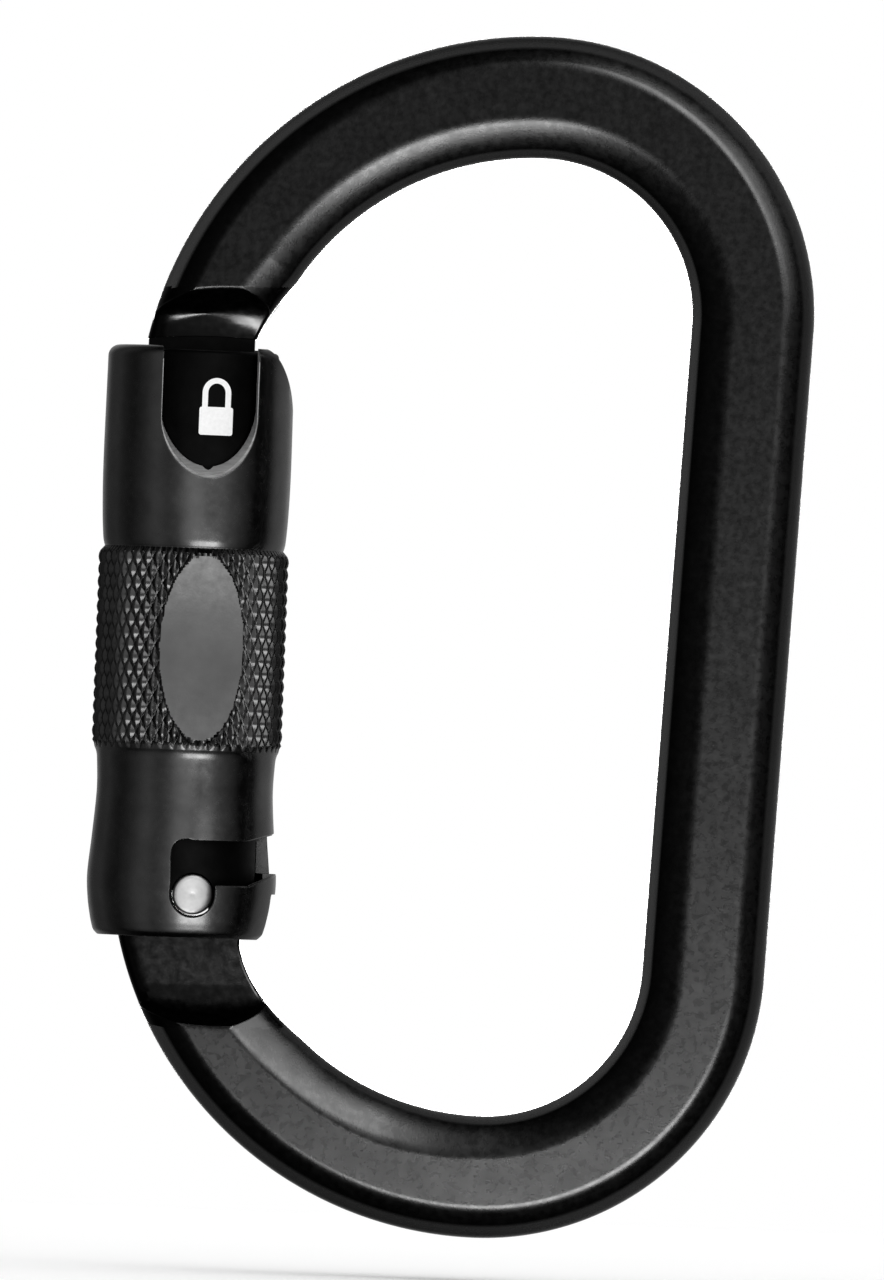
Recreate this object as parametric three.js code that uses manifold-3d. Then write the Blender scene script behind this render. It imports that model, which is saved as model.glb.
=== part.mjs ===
// Locking carabiner: an oval-backed aluminium frame with a hinged gate, closed by a
// pull-and-twist sleeve that rides on the gate.
//
// Working coordinates, in millimetres: the gate's axis is the Z axis, the hinge pin is at
// height 0 and runs along Y, X points from the gate towards the frame's spine, and the
// front face looks towards -Y. The finished group is shifted so that its origin is the
// centre of the object's bounding box.

import * as THREE from 'three';
import { mergeVertices } from 'three/addons/utils/BufferGeometryUtils.js';
import Module from 'manifold-3d';

const wasm = await Module();
wasm.setup();

// ---- Driving dimensions (mm, degrees) ----

const GAP = 0.3; // clearance between neighbouring pieces
const ROUND = 48; // facets around a turned piece
const FINE_ROUND = 360; // facets around the large arcs about the hinge
const REACH = 20; // how far a cutter runs past what it cuts

// Frame: a bar bent along arcs that meet at the top and bottom of the oval.
const BAR_WIDTH = 11.3;
const BAR_THICKNESS = 10.5;
const EDGE_WIDTH = 2.9; // how far the bar's rounded edge reaches across its face
const EDGE_DEPTH = 2.7; // how far it reaches down its side
const UPPER_BOW = { x: 30.9, z: 54.9, radius: 20.0 };
const LOWER_BOW = { x: 28.4, z: -4.9, radius: 20.2 };
const SHOULDER_RADIUS = 31.0; // centreline, from the top of the oval to the nose
const HEEL_RADIUS = 29.4; // centreline, from the bottom of the oval to the hinge
const INNER_SLIMMING = 0.85; // how much the bar slims on its inside by the gate's ends
const BASKET_SAG = 0.08; // depth of the flat land in the top and bottom of the opening

// Where the bar is thinned for the gate.
const NECK_HALF_THICKNESS = 3.0;
const NECK_STEP_Z = 53.0;
const NOSE_BLANK_Z = 38; // the nose's square end before it is shaped
const NECK_RIGHT_X = 5.2;
// Where the bow's inner edge turns down into the neck: an angle on its arc, then a curve.
const NECK_ROOT = { angle: 149, bendX: 5.8, bendZ: 53.6, endZ: 51.2 };
const TANG_HALF_THICKNESS = 2.2;
const TANG_STEP_Z = -10.0;
const STEP_HEIGHT = 2.8;
const STEP_TILT = 5;
const STEP_SPAN = { from: -14, to: 18 }; // in x, past both sides of the bar

// Hinge.
const HINGE_X = 1.15;
const PIN_RADIUS = 1.85;
const PIN_FACETS = 32;
const TANG_RADIUS = 4.83; // rounded end of the frame around the hinge pin
const TANG_FLAT_Z = 4.3; // flat on that end, where the plunger rests
const HOLLOW_TOP = { x: 5.6, z: -4.5 }; // the frame's rope side is hollowed below the hinge
const HOLLOW_BEND = { x: 6.3, z: -8.8 };
const HOLLOW_END_ANGLE = -133; // on the heel's inner arc
const BLANK_END = { x: 9, z: 8 }; // the bar's square end before it is shaped

// Gate.
const GATE_RADIUS = 7.2;
const GATE_BOTTOM_Z = -3.7;
const GATE_TOP_Z = 50.3;
const SHANK_RADIUS = 5.3;
const SHANK_BOTTOM_Z = 12;
const SHANK_TOP_Z = 36;
const TOP_SWEEP = 51.6; // radius about the hinge of the gate's closing end
const KEY_NECK = { halfThickness: 0.9, top: 53.4 };
const KEY_HEAD = { halfThickness: 1.8, top: 55.0 };
const KEY_LEFT_X = -2.1;
const KEY_ROOT = 50; // radius where the key starts, inside the gate's closing end
const TENON_LEFT_X = -4.4;

// Plunger and its spring, inside the gate.
const PLUNGER_RADIUS = 1.8;
const PLUNGER_TOP_Z = 12;
const PLUNGER_BORE_TOP_Z = 31;

// Locking sleeve.
const SLEEVE_BOTTOM_Z = -4.0;
const SLEEVE_TOP_Z = 50.6;
const BORE_RADIUS = 7.5;
const HEAD_RADIUS = 8.7;
const KNURL_RADIUS = 8.82;
const KNURL_BOTTOM_Z = 13.7;
const KNURL_TOP_Z = 31.8;
const FEATURE_TURN = 8; // the window, slot and dishes are turned this far from the front
const WINDOW_WIDTH = 8.9;
const WINDOW_BOTTOM_Z = 38.65;
const SLOT_WIDTH = 4.1;
const SLOT_LIFT = 3.0; // travel from the slot's foot to its sideways leg
const NOTCH_HALF_WIDTH = 2.5;
const NOTCH_TOP_Z = 0.25;
const DISH_DEPTH = 0.85;
const DISH_RADIUS = 43;
const CLIP_GROOVE_RADIUS = 7.95;

// Spring parts between the gate and the sleeve.
const CLIP = { inner: 6.0, outer: 7.7, bottom: 34.4, top: 35.4, opening: 3.0 };
const WASHER = { inner: 5.6, outer: 7.2, bottom: 33.2, top: 34.1 };
const SLEEVE_SPRING = { radius: 6.35, wire: 0.5, turns: 8, bottom: 12.3, top: 32.9 };
const GATE_SPRING = { radius: 1.45, wire: 0.3, turns: 13, bottom: 12.3, top: 30.7 };

const rad = THREE.MathUtils.degToRad;

// ---- Solids from three.js geometry ----

function toSolid(geometry) {
  geometry.deleteAttribute('normal');
  geometry.deleteAttribute('uv');
  const merged = mergeVertices(geometry, 1e-4);
  const index = merged.index.array;
  const triangles = [];
  for (let i = 0; i < index.length; i += 3) {
    const [a, b, c] = index.slice(i, i + 3);
    if (a !== b && b !== c && c !== a) triangles.push(a, b, c);
  }
  return new wasm.Manifold(new wasm.Mesh({
    numProp: 3,
    vertProperties: new Float32Array(merged.attributes.position.array),
    triVerts: new Uint32Array(triangles),
  }));
}

function toGeometry(solid) {
  const mesh = solid.getMesh();
  const geometry = new THREE.BufferGeometry();
  geometry.setAttribute('position', new THREE.BufferAttribute(mesh.vertProperties, 3));
  geometry.setIndex(new THREE.BufferAttribute(mesh.triVerts, 1));
  geometry.computeVertexNormals();
  return geometry;
}

// A block between two corners.
function block([x0, y0, z0], [x1, y1, z1]) {
  const geometry = new THREE.BoxGeometry(x1 - x0, y1 - y0, z1 - z0);
  geometry.translate((x0 + x1) / 2, (y0 + y1) / 2, (z0 + z1) / 2);
  return toSolid(geometry);
}

// A cylinder along Y, from -halfLength to +halfLength, about the point (x, z).
function crossRod(x, z, radius, halfLength, segments = ROUND) {
  const geometry = new THREE.CylinderGeometry(radius, radius, 2 * halfLength, segments);
  geometry.translate(x, 0, z);
  return toSolid(geometry);
}

// A cylinder along Z.
function uprightRod(x, y, radius, bottom, top, segments = 24) {
  const geometry = new THREE.CylinderGeometry(radius, radius, top - bottom, segments);
  geometry.rotateX(Math.PI / 2);
  geometry.translate(x, y, (bottom + top) / 2);
  return toSolid(geometry);
}

// An outline drawn in x and z, given thickness from yFront to yBack.
function plate(shape, yFront, yBack, curveSegments = 12) {
  const geometry = new THREE.ExtrudeGeometry(shape, {
    depth: yBack - yFront,
    bevelEnabled: false,
    curveSegments,
  });
  geometry.rotateX(Math.PI / 2);
  geometry.translate(0, yBack, 0);
  return toSolid(geometry);
}

// A body of revolution about Z from [radius, height] points, in either order.
function turned(profile, segments = ROUND) {
  const points = profile.map(([radius, height]) => new THREE.Vector2(radius, height));
  if (THREE.ShapeUtils.isClockWise(points)) points.reverse();
  points.push(points[0].clone());
  const geometry = new THREE.LatheGeometry(points, segments);
  geometry.rotateX(Math.PI / 2);
  return toSolid(geometry);
}

// ---- Frame ----

// The spine is the common tangent of the two bows; this is how far it leans outwards.
function spineLean() {
  const dx = UPPER_BOW.x - LOWER_BOW.x;
  const dz = UPPER_BOW.z - LOWER_BOW.z;
  return Math.atan2(dx, dz) - Math.asin((LOWER_BOW.radius - UPPER_BOW.radius) / Math.hypot(dx, dz));
}

// Angle on an arc of the given radius at which it is `height` above its centre, going up
// the left-hand side.
function leftAngle(radius, height) {
  return Math.PI - Math.asin(height / radius);
}

// The frame's outline in x and z. With `shapedEnd` its lower end is rounded about the
// hinge pin; without, the bar runs on past the hinge, square and a little wide.
function frameOutline(shapedEnd) {
  const half = BAR_WIDTH / 2;
  const lean = spineLean();
  const shoulderZ = UPPER_BOW.z - (SHOULDER_RADIUS - UPPER_BOW.radius);
  const heelZ = LOWER_BOW.z + (HEEL_RADIUS - LOWER_BOW.radius);
  const landAngle = (radius) => Math.asin((radius - BASKET_SAG) / radius);
  const outline = new THREE.Shape();

  // Outer edge, clockwise from the nose.
  const shoulderOuter = SHOULDER_RADIUS + half;
  const heelOuter = HEEL_RADIUS + half;
  const heelEndZ = shapedEnd ? SLEEVE_BOTTOM_Z + 0.1 : BLANK_END.z;
  outline.absarc(UPPER_BOW.x, shoulderZ, shoulderOuter,
    leftAngle(shoulderOuter, NOSE_BLANK_Z - shoulderZ), Math.PI / 2, true);
  outline.absarc(UPPER_BOW.x, UPPER_BOW.z, UPPER_BOW.radius + half, Math.PI / 2, -lean, true);
  outline.absarc(LOWER_BOW.x, LOWER_BOW.z, LOWER_BOW.radius + half, -lean, -Math.PI / 2, true);
  outline.absarc(LOWER_BOW.x, heelZ, heelOuter,
    -Math.PI / 2, leftAngle(heelOuter, heelEndZ - heelZ) - 2 * Math.PI, true);

  const heelInner = HEEL_RADIUS - half;
  const heelStart = rad(HOLLOW_END_ANGLE);
  if (shapedEnd) {
    // Rounded end with the plunger's flat on top, then a hollow that clears the sleeve.
    const flatAngle = Math.asin(TANG_FLAT_Z / TANG_RADIUS);
    outline.absarc(HINGE_X, 0, TANG_RADIUS, rad(150), Math.PI - flatAngle, true);
    outline.absarc(HINGE_X, 0, TANG_RADIUS, flatAngle, rad(-12), true);
    outline.lineTo(HOLLOW_TOP.x, HOLLOW_TOP.z);
    outline.quadraticCurveTo(HOLLOW_BEND.x, HOLLOW_BEND.z,
      LOWER_BOW.x + (heelInner + INNER_SLIMMING) * Math.cos(heelStart),
      heelZ + heelInner * Math.sin(heelStart));
  } else {
    outline.lineTo(BLANK_END.x, BLANK_END.z);
    outline.lineTo(BLANK_END.x, HOLLOW_BEND.z);
  }

  // Inner edge, back to the nose. Each bow has a short flat land at its deepest point.
  const shoulderInner = SHOULDER_RADIUS - half;
  outline.absellipse(LOWER_BOW.x, heelZ, heelInner + INNER_SLIMMING, heelInner,
    heelStart, landAngle(heelInner) - Math.PI, false);
  const lowerInner = LOWER_BOW.radius - half;
  outline.absarc(LOWER_BOW.x, LOWER_BOW.z, lowerInner, -landAngle(lowerInner), -lean, false);
  const upperInner = UPPER_BOW.radius - half;
  outline.absarc(UPPER_BOW.x, UPPER_BOW.z, upperInner, -lean, landAngle(upperInner), false);
  outline.absellipse(UPPER_BOW.x, shoulderZ, shoulderInner + INNER_SLIMMING, shoulderInner,
    Math.PI - landAngle(shoulderInner), rad(NECK_ROOT.angle), false);
  outline.quadraticCurveTo(NECK_ROOT.bendX, NECK_ROOT.bendZ, NECK_RIGHT_X, NECK_ROOT.endZ);
  outline.lineTo(NECK_RIGHT_X, NOSE_BLANK_Z);
  outline.closePath();
  return outline;
}

// Cutter that thins the back of the bar to `halfThickness`. The thinned stretch starts at
// `stepZ` with a hollow step and runs on to `farZ`, above or below it.
function faceRecess({ halfThickness, stepZ, farZ, tilt }) {
  const depth = BAR_THICKNESS / 2 - halfThickness;
  const outY = BAR_THICKNESS;
  const away = Math.sign(stepZ - farZ);
  const profile = new THREE.Shape();
  profile.moveTo(halfThickness, farZ);
  profile.lineTo(halfThickness, stepZ);
  profile.absellipse(halfThickness + depth, stepZ, depth, STEP_HEIGHT,
    Math.PI, Math.PI - away * Math.PI / 2, away > 0);
  profile.lineTo(outY, stepZ + away * STEP_HEIGHT);
  profile.lineTo(outY, farZ);
  profile.closePath();
  const length = STEP_SPAN.to - STEP_SPAN.from;
  const geometry = new THREE.ExtrudeGeometry(profile, {
    depth: length, bevelEnabled: false, curveSegments: 5,
  });
  // The profile's own axes become Y and Z, and its depth runs along X.
  geometry.applyMatrix4(new THREE.Matrix4().makeBasis(
    new THREE.Vector3(0, 1, 0), new THREE.Vector3(0, 0, 1), new THREE.Vector3(1, 0, 0)));
  geometry.translate(-length / 2, 0, -stepZ);
  geometry.rotateY(rad(tilt));
  // Turned over, the same cutter thins the front; its step keeps the back step's tilt.
  const frontGeometry = geometry.clone();
  frontGeometry.rotateZ(Math.PI);
  frontGeometry.rotateY(rad(2 * tilt));
  const place = [(STEP_SPAN.from + STEP_SPAN.to) / 2, 0, stepZ];
  return toSolid(geometry.translate(...place)).add(toSolid(frontGeometry.translate(...place)));
}

// Part of a ring about the hinge pin's axis, between two x positions above the hinge.
function hingeSector(innerRadius, outerRadius, halfThickness, fromX, toX) {
  const ring = crossRod(HINGE_X, 0, outerRadius, halfThickness, FINE_ROUND)
    .subtract(crossRod(HINGE_X, 0, innerRadius, halfThickness + 1, FINE_ROUND));
  return ring.intersect(block([fromX, -REACH, NOSE_BLANK_Z], [toX, REACH, NOSE_BLANK_Z + REACH]));
}

function makeFrame() {
  const bar = new THREE.ExtrudeGeometry(frameOutline(false), {
    depth: BAR_THICKNESS - 2 * EDGE_DEPTH,
    bevelThickness: EDGE_DEPTH,
    bevelSize: EDGE_WIDTH,
    bevelOffset: -EDGE_WIDTH,
    bevelSegments: 4,
    curveSegments: 10,
  });
  bar.rotateX(Math.PI / 2);
  bar.translate(0, BAR_THICKNESS / 2 - EDGE_DEPTH, 0);

  const noseCut = crossRod(HINGE_X, 0, TOP_SWEEP + GAP, REACH, FINE_ROUND)
    .intersect(block([-REACH, -REACH, NOSE_BLANK_Z - 2], [REACH, REACH, NOSE_BLANK_Z + REACH]));
  const keySlot = hingeSector(KEY_ROOT, KEY_NECK.top + GAP, KEY_NECK.halfThickness + GAP,
    KEY_LEFT_X - GAP, REACH);
  const keyPocket = hingeSector(KEY_NECK.top - GAP, KEY_HEAD.top + GAP,
    KEY_HEAD.halfThickness + GAP, KEY_LEFT_X - GAP, REACH);
  return toSolid(bar)
    .intersect(plate(frameOutline(true), -BAR_THICKNESS, BAR_THICKNESS, 10))
    .subtract(faceRecess({
      halfThickness: TANG_HALF_THICKNESS,
      stepZ: TANG_STEP_Z,
      farZ: BLANK_END.z + 1,
      tilt: STEP_TILT,
    }))
    .subtract(faceRecess({
      halfThickness: NECK_HALF_THICKNESS,
      stepZ: NECK_STEP_Z,
      farZ: NOSE_BLANK_Z - 4,
      tilt: -STEP_TILT,
    }))
    .subtract(noseCut)
    .subtract(keySlot)
    .subtract(keyPocket)
    .subtract(crossRod(HINGE_X, 0, PIN_RADIUS + GAP / 2, REACH, PIN_FACETS));
}

// ---- Gate and what it holds ----

function makeGate() {
  const edge = 0.5; // chamfer
  const body = turned([
    [0, GATE_BOTTOM_Z],
    [GATE_RADIUS - edge, GATE_BOTTOM_Z],
    [GATE_RADIUS, GATE_BOTTOM_Z + edge],
    [GATE_RADIUS, SHANK_BOTTOM_Z],
    [SHANK_RADIUS, SHANK_BOTTOM_Z],
    [SHANK_RADIUS, SHANK_TOP_Z],
    [GATE_RADIUS, SHANK_TOP_Z],
    [GATE_RADIUS, GATE_TOP_Z - edge],
    [GATE_RADIUS - edge, GATE_TOP_Z],
    [0, GATE_TOP_Z],
  ]);
  const right = NECK_RIGHT_X - GAP;
  const tenon = hingeSector(KEY_ROOT - 5, TOP_SWEEP, NECK_HALF_THICKNESS, TENON_LEFT_X, right);
  const keyNeck = hingeSector(KEY_ROOT, KEY_NECK.top, KEY_NECK.halfThickness, KEY_LEFT_X, right);
  const keyHead = hingeSector(KEY_NECK.top, KEY_HEAD.top, KEY_HEAD.halfThickness, KEY_LEFT_X, right);
  const forkTop = TANG_RADIUS + GAP;
  const fork = block([-REACH, -TANG_HALF_THICKNESS - GAP, GATE_BOTTOM_Z - 1],
    [REACH, TANG_HALF_THICKNESS + GAP, forkTop]);
  return body
    .add(tenon)
    .add(keyNeck)
    .add(keyHead)
    .subtract(fork)
    .subtract(uprightRod(HINGE_X, 0, PLUNGER_RADIUS + GAP, forkTop - 1, PLUNGER_BORE_TOP_Z))
    .subtract(crossRod(HINGE_X, 0, PIN_RADIUS + GAP / 2, REACH, PIN_FACETS));
}

// The pin's ends are dressed round, level with the gate.
function makeHingePin() {
  const gateRound = uprightRod(0, 0, GATE_RADIUS, -2 * PIN_RADIUS, 2 * PIN_RADIUS, 2 * ROUND);
  return crossRod(HINGE_X, 0, PIN_RADIUS, 2 * GATE_RADIUS, PIN_FACETS).intersect(gateRound);
}

function makePlunger() {
  const tip = 0.4; // chamfer
  const foot = TANG_FLAT_Z + GAP;
  const profile = [
    [0, foot],
    [PLUNGER_RADIUS - tip, foot],
    [PLUNGER_RADIUS, foot + tip],
    [PLUNGER_RADIUS, PLUNGER_TOP_Z],
    [0, PLUNGER_TOP_Z],
  ];
  return turned(profile, 24).translate([HINGE_X, 0, 0]);
}

// A compression spring with closed ends, wound about a vertical axis.
class SpringPath extends THREE.Curve {
  constructor({ radius, wire, turns, bottom, top }) {
    super();
    this.radius = radius;
    this.turns = turns;
    this.bottom = bottom + wire;
    this.rise = top - bottom - 2 * wire;
    this.closedTurns = 1;
    this.endRise = 2.15 * wire;
  }

  getPoint(t, target = new THREE.Vector3()) {
    const angle = 2 * Math.PI * this.turns * t;
    const turn = this.turns * t;
    const last = this.turns - this.closedTurns;
    const pitch = (this.rise - 2 * this.endRise) / (this.turns - 2 * this.closedTurns);
    let height = this.endRise + (turn - this.closedTurns) * pitch;
    if (turn < this.closedTurns) height = turn * this.endRise;
    if (turn > last) height = this.rise - (this.turns - turn) * this.endRise;
    return target.set(this.radius * Math.cos(angle), this.radius * Math.sin(angle), this.bottom + height);
  }
}

function makeSpring(spring, stepsPerTurn, wireSides) {
  const section = new THREE.Shape();
  section.absarc(0, 0, spring.wire, 0, 2 * Math.PI, false);
  return toSolid(new THREE.ExtrudeGeometry(section, {
    steps: spring.turns * stepsPerTurn,
    curveSegments: wireSides / 2,
    bevelEnabled: false,
    extrudePath: new SpringPath(spring),
  }));
}

// ---- Locking sleeve and what it holds ----

// Outline of the sleeve's wall: a waisted outside, a knurled band and a plain bore.
function sleeveProfile() {
  const waist = new THREE.SplineCurve([
    new THREE.Vector2(8.2, -2.5),
    new THREE.Vector2(8.62, -0.7),
    new THREE.Vector2(8.75, 1.6),
    new THREE.Vector2(8.45, 5.2),
    new THREE.Vector2(8.15, 9.3),
    new THREE.Vector2(8.4, 13.4),
  ]).getPoints(12);
  const head = new THREE.SplineCurve([
    new THREE.Vector2(8.43, 32.1),
    new THREE.Vector2(8.62, 35.5),
    new THREE.Vector2(HEAD_RADIUS, 40),
    new THREE.Vector2(HEAD_RADIUS, SLEEVE_TOP_Z - 0.5),
  ]).getPoints(8);
  const clipRoom = { bottom: CLIP.bottom - GAP, top: CLIP.top + GAP };
  return [
    [BORE_RADIUS, SLEEVE_BOTTOM_Z],
    [BORE_RADIUS + 0.25, SLEEVE_BOTTOM_Z],
    [BORE_RADIUS + 0.5, SLEEVE_BOTTOM_Z + 0.6],
    ...waist.map((point) => [point.x, point.y]),
    [KNURL_RADIUS, KNURL_BOTTOM_Z],
    [KNURL_RADIUS, KNURL_TOP_Z],
    ...head.map((point) => [point.x, point.y]),
    [HEAD_RADIUS - 0.4, SLEEVE_TOP_Z],
    [BORE_RADIUS, SLEEVE_TOP_Z],
    [BORE_RADIUS, clipRoom.top],
    [CLIP_GROOVE_RADIUS, clipRoom.top],
    [CLIP_GROOVE_RADIUS, clipRoom.bottom],
    [BORE_RADIUS, clipRoom.bottom],
  ];
}

// U-shaped window in the front of the wall, open at the top.
function windowCut() {
  const half = WINDOW_WIDTH / 2;
  const outline = new THREE.Shape();
  outline.moveTo(half, SLEEVE_TOP_Z + 5);
  outline.lineTo(-half, SLEEVE_TOP_Z + 5);
  outline.absarc(0, WINDOW_BOTTOM_Z + half, half, Math.PI, 2 * Math.PI, false);
  outline.closePath();
  return plate(outline, -REACH, -1).rotate([0, 0, FEATURE_TURN]);
}

// Bayonet slot for the front end of the hinge pin: an upright leg with the pin at its foot,
// and a leg that runs a quarter turn round the wall and climbs a little towards its end.
function slotCut() {
  const half = SLOT_WIDTH / 2;
  const legTop = SLOT_LIFT + half;
  const legBottom = SLOT_LIFT - half;
  const corner = 1.4; // radius where the two legs meet
  const climb = { start: 6.0, end: 8.7, bottom: 1.2, top: 0.8 };
  const steepness = REACH / (climb.end - climb.start);
  const outline = new THREE.Shape();
  outline.absarc(HINGE_X, 0, half, Math.PI, 2 * Math.PI, false);
  outline.lineTo(HINGE_X + half, legBottom);
  outline.lineTo(climb.start, legBottom);
  outline.lineTo(climb.start + REACH, legBottom + climb.bottom * steepness);
  outline.lineTo(climb.start + REACH, legTop + climb.top * steepness);
  outline.lineTo(climb.start, legTop);
  outline.lineTo(HINGE_X - half + corner, legTop);
  outline.quadraticCurveTo(HINGE_X - half, legTop, HINGE_X - half, legTop - corner);
  outline.closePath();
  const sideEnd = HINGE_X + half;
  return plate(outline, -REACH, -0.5, 8)
    .add(block([HINGE_X + half, -1, legBottom + climb.bottom], [REACH, sideEnd, legTop + climb.top]));
}

// Notches in the lower edge that straddle the frame when the gate is open, one for the
// locked and one for the unlocked position of the sleeve.
function notchCuts() {
  const toSide = block([1, -NOTCH_HALF_WIDTH, SLEEVE_BOTTOM_Z - 1],
    [REACH, NOTCH_HALF_WIDTH, NOTCH_TOP_Z]);
  return toSide.add(toSide.rotate([0, 0, 90]));
}

// Shallow thumb dishes, hollow along the sleeve, in the front and back of the band.
function dishCuts() {
  const depthAxis = KNURL_RADIUS - DISH_DEPTH + DISH_RADIUS;
  const geometry = new THREE.CylinderGeometry(DISH_RADIUS, DISH_RADIUS, REACH, 200);
  geometry.rotateZ(Math.PI / 2);
  geometry.translate(0, -depthAxis, (KNURL_BOTTOM_Z + KNURL_TOP_Z) / 2);
  const front = toSolid(geometry).rotate([0, 0, FEATURE_TURN]);
  return front.add(front.rotate([0, 0, 180]));
}

// The rim's corner on the rope side is rounded away.
function rimRelief() {
  const corner = { x: 5.6, z: 44, width: 3.1, height: 6.7 };
  const outline = new THREE.Shape();
  outline.absellipse(corner.x, corner.z, corner.width, corner.height, 0, Math.PI / 2, false);
  outline.lineTo(corner.x, SLEEVE_TOP_Z + 2);
  outline.lineTo(REACH, SLEEVE_TOP_Z + 2);
  outline.lineTo(REACH, corner.z);
  outline.closePath();
  return plate(outline, -REACH, REACH, 5);
}

function makeSleeve() {
  return turned(sleeveProfile())
    .subtract(windowCut())
    .subtract(slotCut())
    .subtract(notchCuts())
    .subtract(dishCuts())
    .subtract(rimRelief());
}

function ring({ inner, outer, bottom, top }) {
  return turned([[inner, bottom], [outer, bottom], [outer, top], [inner, top]]);
}

// A split ring, open at the back.
function makeClip() {
  const half = CLIP.opening / 2;
  const opening = block([-half, CLIP.inner / 2, CLIP.bottom - 1], [half, REACH, CLIP.top + 1]);
  return ring(CLIP).subtract(opening);
}

// ---- Assembly ----

const finishes = {
  black: { color: 0x17171a, roughness: 0.42, metalness: 0.6 },
  sleeveBlack: { color: 0x1b1b1e, roughness: 0.3, metalness: 0.75 },
  steel: { color: 0xd6d6d2, roughness: 0.3, metalness: 1.0 },
  springSteel: { color: 0x9a9a9c, roughness: 0.35, metalness: 1.0 },
};

const pieces = [
  ['frame', makeFrame(), finishes.black],
  ['gate', makeGate(), finishes.black],
  ['hinge_pin', makeHingePin(), finishes.steel],
  ['gate_plunger', makePlunger(), finishes.steel],
  ['gate_spring', makeSpring(GATE_SPRING, 10, 6).translate([HINGE_X, 0, 0]), finishes.springSteel],
  ['locking_sleeve', makeSleeve(), finishes.sleeveBlack],
  ['retaining_ring', makeClip(), finishes.springSteel],
  ['thrust_washer', ring(WASHER), finishes.steel],
  ['sleeve_spring', makeSpring(SLEEVE_SPRING, 16, 8), finishes.springSteel],
];

const carabiner = new THREE.Group();
for (const [name, solid, finish] of pieces) {
  const mesh = new THREE.Mesh(toGeometry(solid), new THREE.MeshStandardMaterial(finish));
  mesh.name = name;
  carabiner.add(mesh);
}

const centre = new THREE.Box3().setFromObject(carabiner).getCenter(new THREE.Vector3());
carabiner.position.sub(centre);

export default carabiner;
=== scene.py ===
"""Locking carabiner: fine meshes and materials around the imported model, in a pale studio.

Shapes are drawn in millimetres in working coordinates: the gate's axis is the Z axis, the
hinge pin is at height 0 along Y, X points from the gate to the spine and the front looks
towards -Y. `finish_piece` moves each mesh into the frame's own metres.
"""

import math

import bmesh
import bpy
import numpy as np
from mathutils import Matrix, Vector


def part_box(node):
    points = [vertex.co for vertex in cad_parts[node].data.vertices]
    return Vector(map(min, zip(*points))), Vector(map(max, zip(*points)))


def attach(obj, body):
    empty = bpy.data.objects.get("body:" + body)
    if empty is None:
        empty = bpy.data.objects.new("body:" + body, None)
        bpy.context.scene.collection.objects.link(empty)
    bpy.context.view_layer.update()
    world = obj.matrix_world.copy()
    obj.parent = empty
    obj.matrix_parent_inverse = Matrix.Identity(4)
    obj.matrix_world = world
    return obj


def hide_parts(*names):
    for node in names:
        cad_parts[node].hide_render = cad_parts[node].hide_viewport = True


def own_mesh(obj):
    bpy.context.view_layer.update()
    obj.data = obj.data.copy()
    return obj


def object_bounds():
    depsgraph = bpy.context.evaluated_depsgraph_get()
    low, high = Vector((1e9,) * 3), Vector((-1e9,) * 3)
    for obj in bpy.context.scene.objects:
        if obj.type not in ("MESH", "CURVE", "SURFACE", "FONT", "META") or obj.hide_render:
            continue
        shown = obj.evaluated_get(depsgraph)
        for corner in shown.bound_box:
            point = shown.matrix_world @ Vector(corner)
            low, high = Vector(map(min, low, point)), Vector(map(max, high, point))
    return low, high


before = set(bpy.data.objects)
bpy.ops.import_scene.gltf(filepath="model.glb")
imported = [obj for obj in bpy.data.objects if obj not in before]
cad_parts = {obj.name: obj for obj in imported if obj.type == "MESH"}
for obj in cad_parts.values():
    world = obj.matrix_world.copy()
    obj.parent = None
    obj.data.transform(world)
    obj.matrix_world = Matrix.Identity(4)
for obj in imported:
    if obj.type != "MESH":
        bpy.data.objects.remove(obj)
cad_low, cad_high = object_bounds()

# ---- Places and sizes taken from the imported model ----

MM = 0.001


def centre_of(node):
    low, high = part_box(node)
    return (low + high) / 2


ORIGIN = Vector((centre_of("gate").x, 0.0, centre_of("hinge_pin").z))


def in_working(point):
    """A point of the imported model, in working millimetres."""
    return (Vector(point) - ORIGIN) / MM


def node_box(node):
    low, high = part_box(node)
    return in_working(low), in_working(high)


frame_low, frame_high = node_box("frame")
gate_low, gate_high = node_box("gate")
pin_low, pin_high = node_box("hinge_pin")
sleeve_low, sleeve_high = node_box("locking_sleeve")
clip_low, clip_high = node_box("retaining_ring")
washer_low, washer_high = node_box("thrust_washer")
plunger_low, plunger_high = node_box("gate_plunger")
gate_spring_low, gate_spring_high = node_box("gate_spring")
sleeve_spring_low, sleeve_spring_high = node_box("sleeve_spring")

HINGE_X = (pin_low.x + pin_high.x) / 2
PIN_RADIUS = (pin_high.x - pin_low.x) / 2
GATE_RADIUS = (gate_high.y - gate_low.y) / 2
SLEEVE_BOTTOM = sleeve_low.z
SLEEVE_TOP = sleeve_high.z
KNURL_RADIUS = (sleeve_high.y - sleeve_low.y) / 2
BAR_HALF = (frame_high.y - frame_low.y) / 2

# ---- Driving dimensions the box doesn't give (mm, degrees) ----

GAP = 0.3

# Frame: arcs of the bar's centreline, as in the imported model.
BAR_WIDTH = 11.3
UPPER_BOW = (30.9, 54.9, 20.0)
LOWER_BOW = (28.4, -4.9, 20.2)
SHOULDER_RADIUS = 31.0
HEEL_RADIUS = 29.4
INNER_SLIMMING = 0.6
NECK_HALF = 3.0
NECK_RIGHT = 5.0
TANG_HALF = 2.2
TANG_TOP = -4.2  # above this the tang's corners turn sharp
TANG_RADIUS = 4.83
TANG_FLAT = 4.3
NOSE_GAP = 0.025

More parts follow.
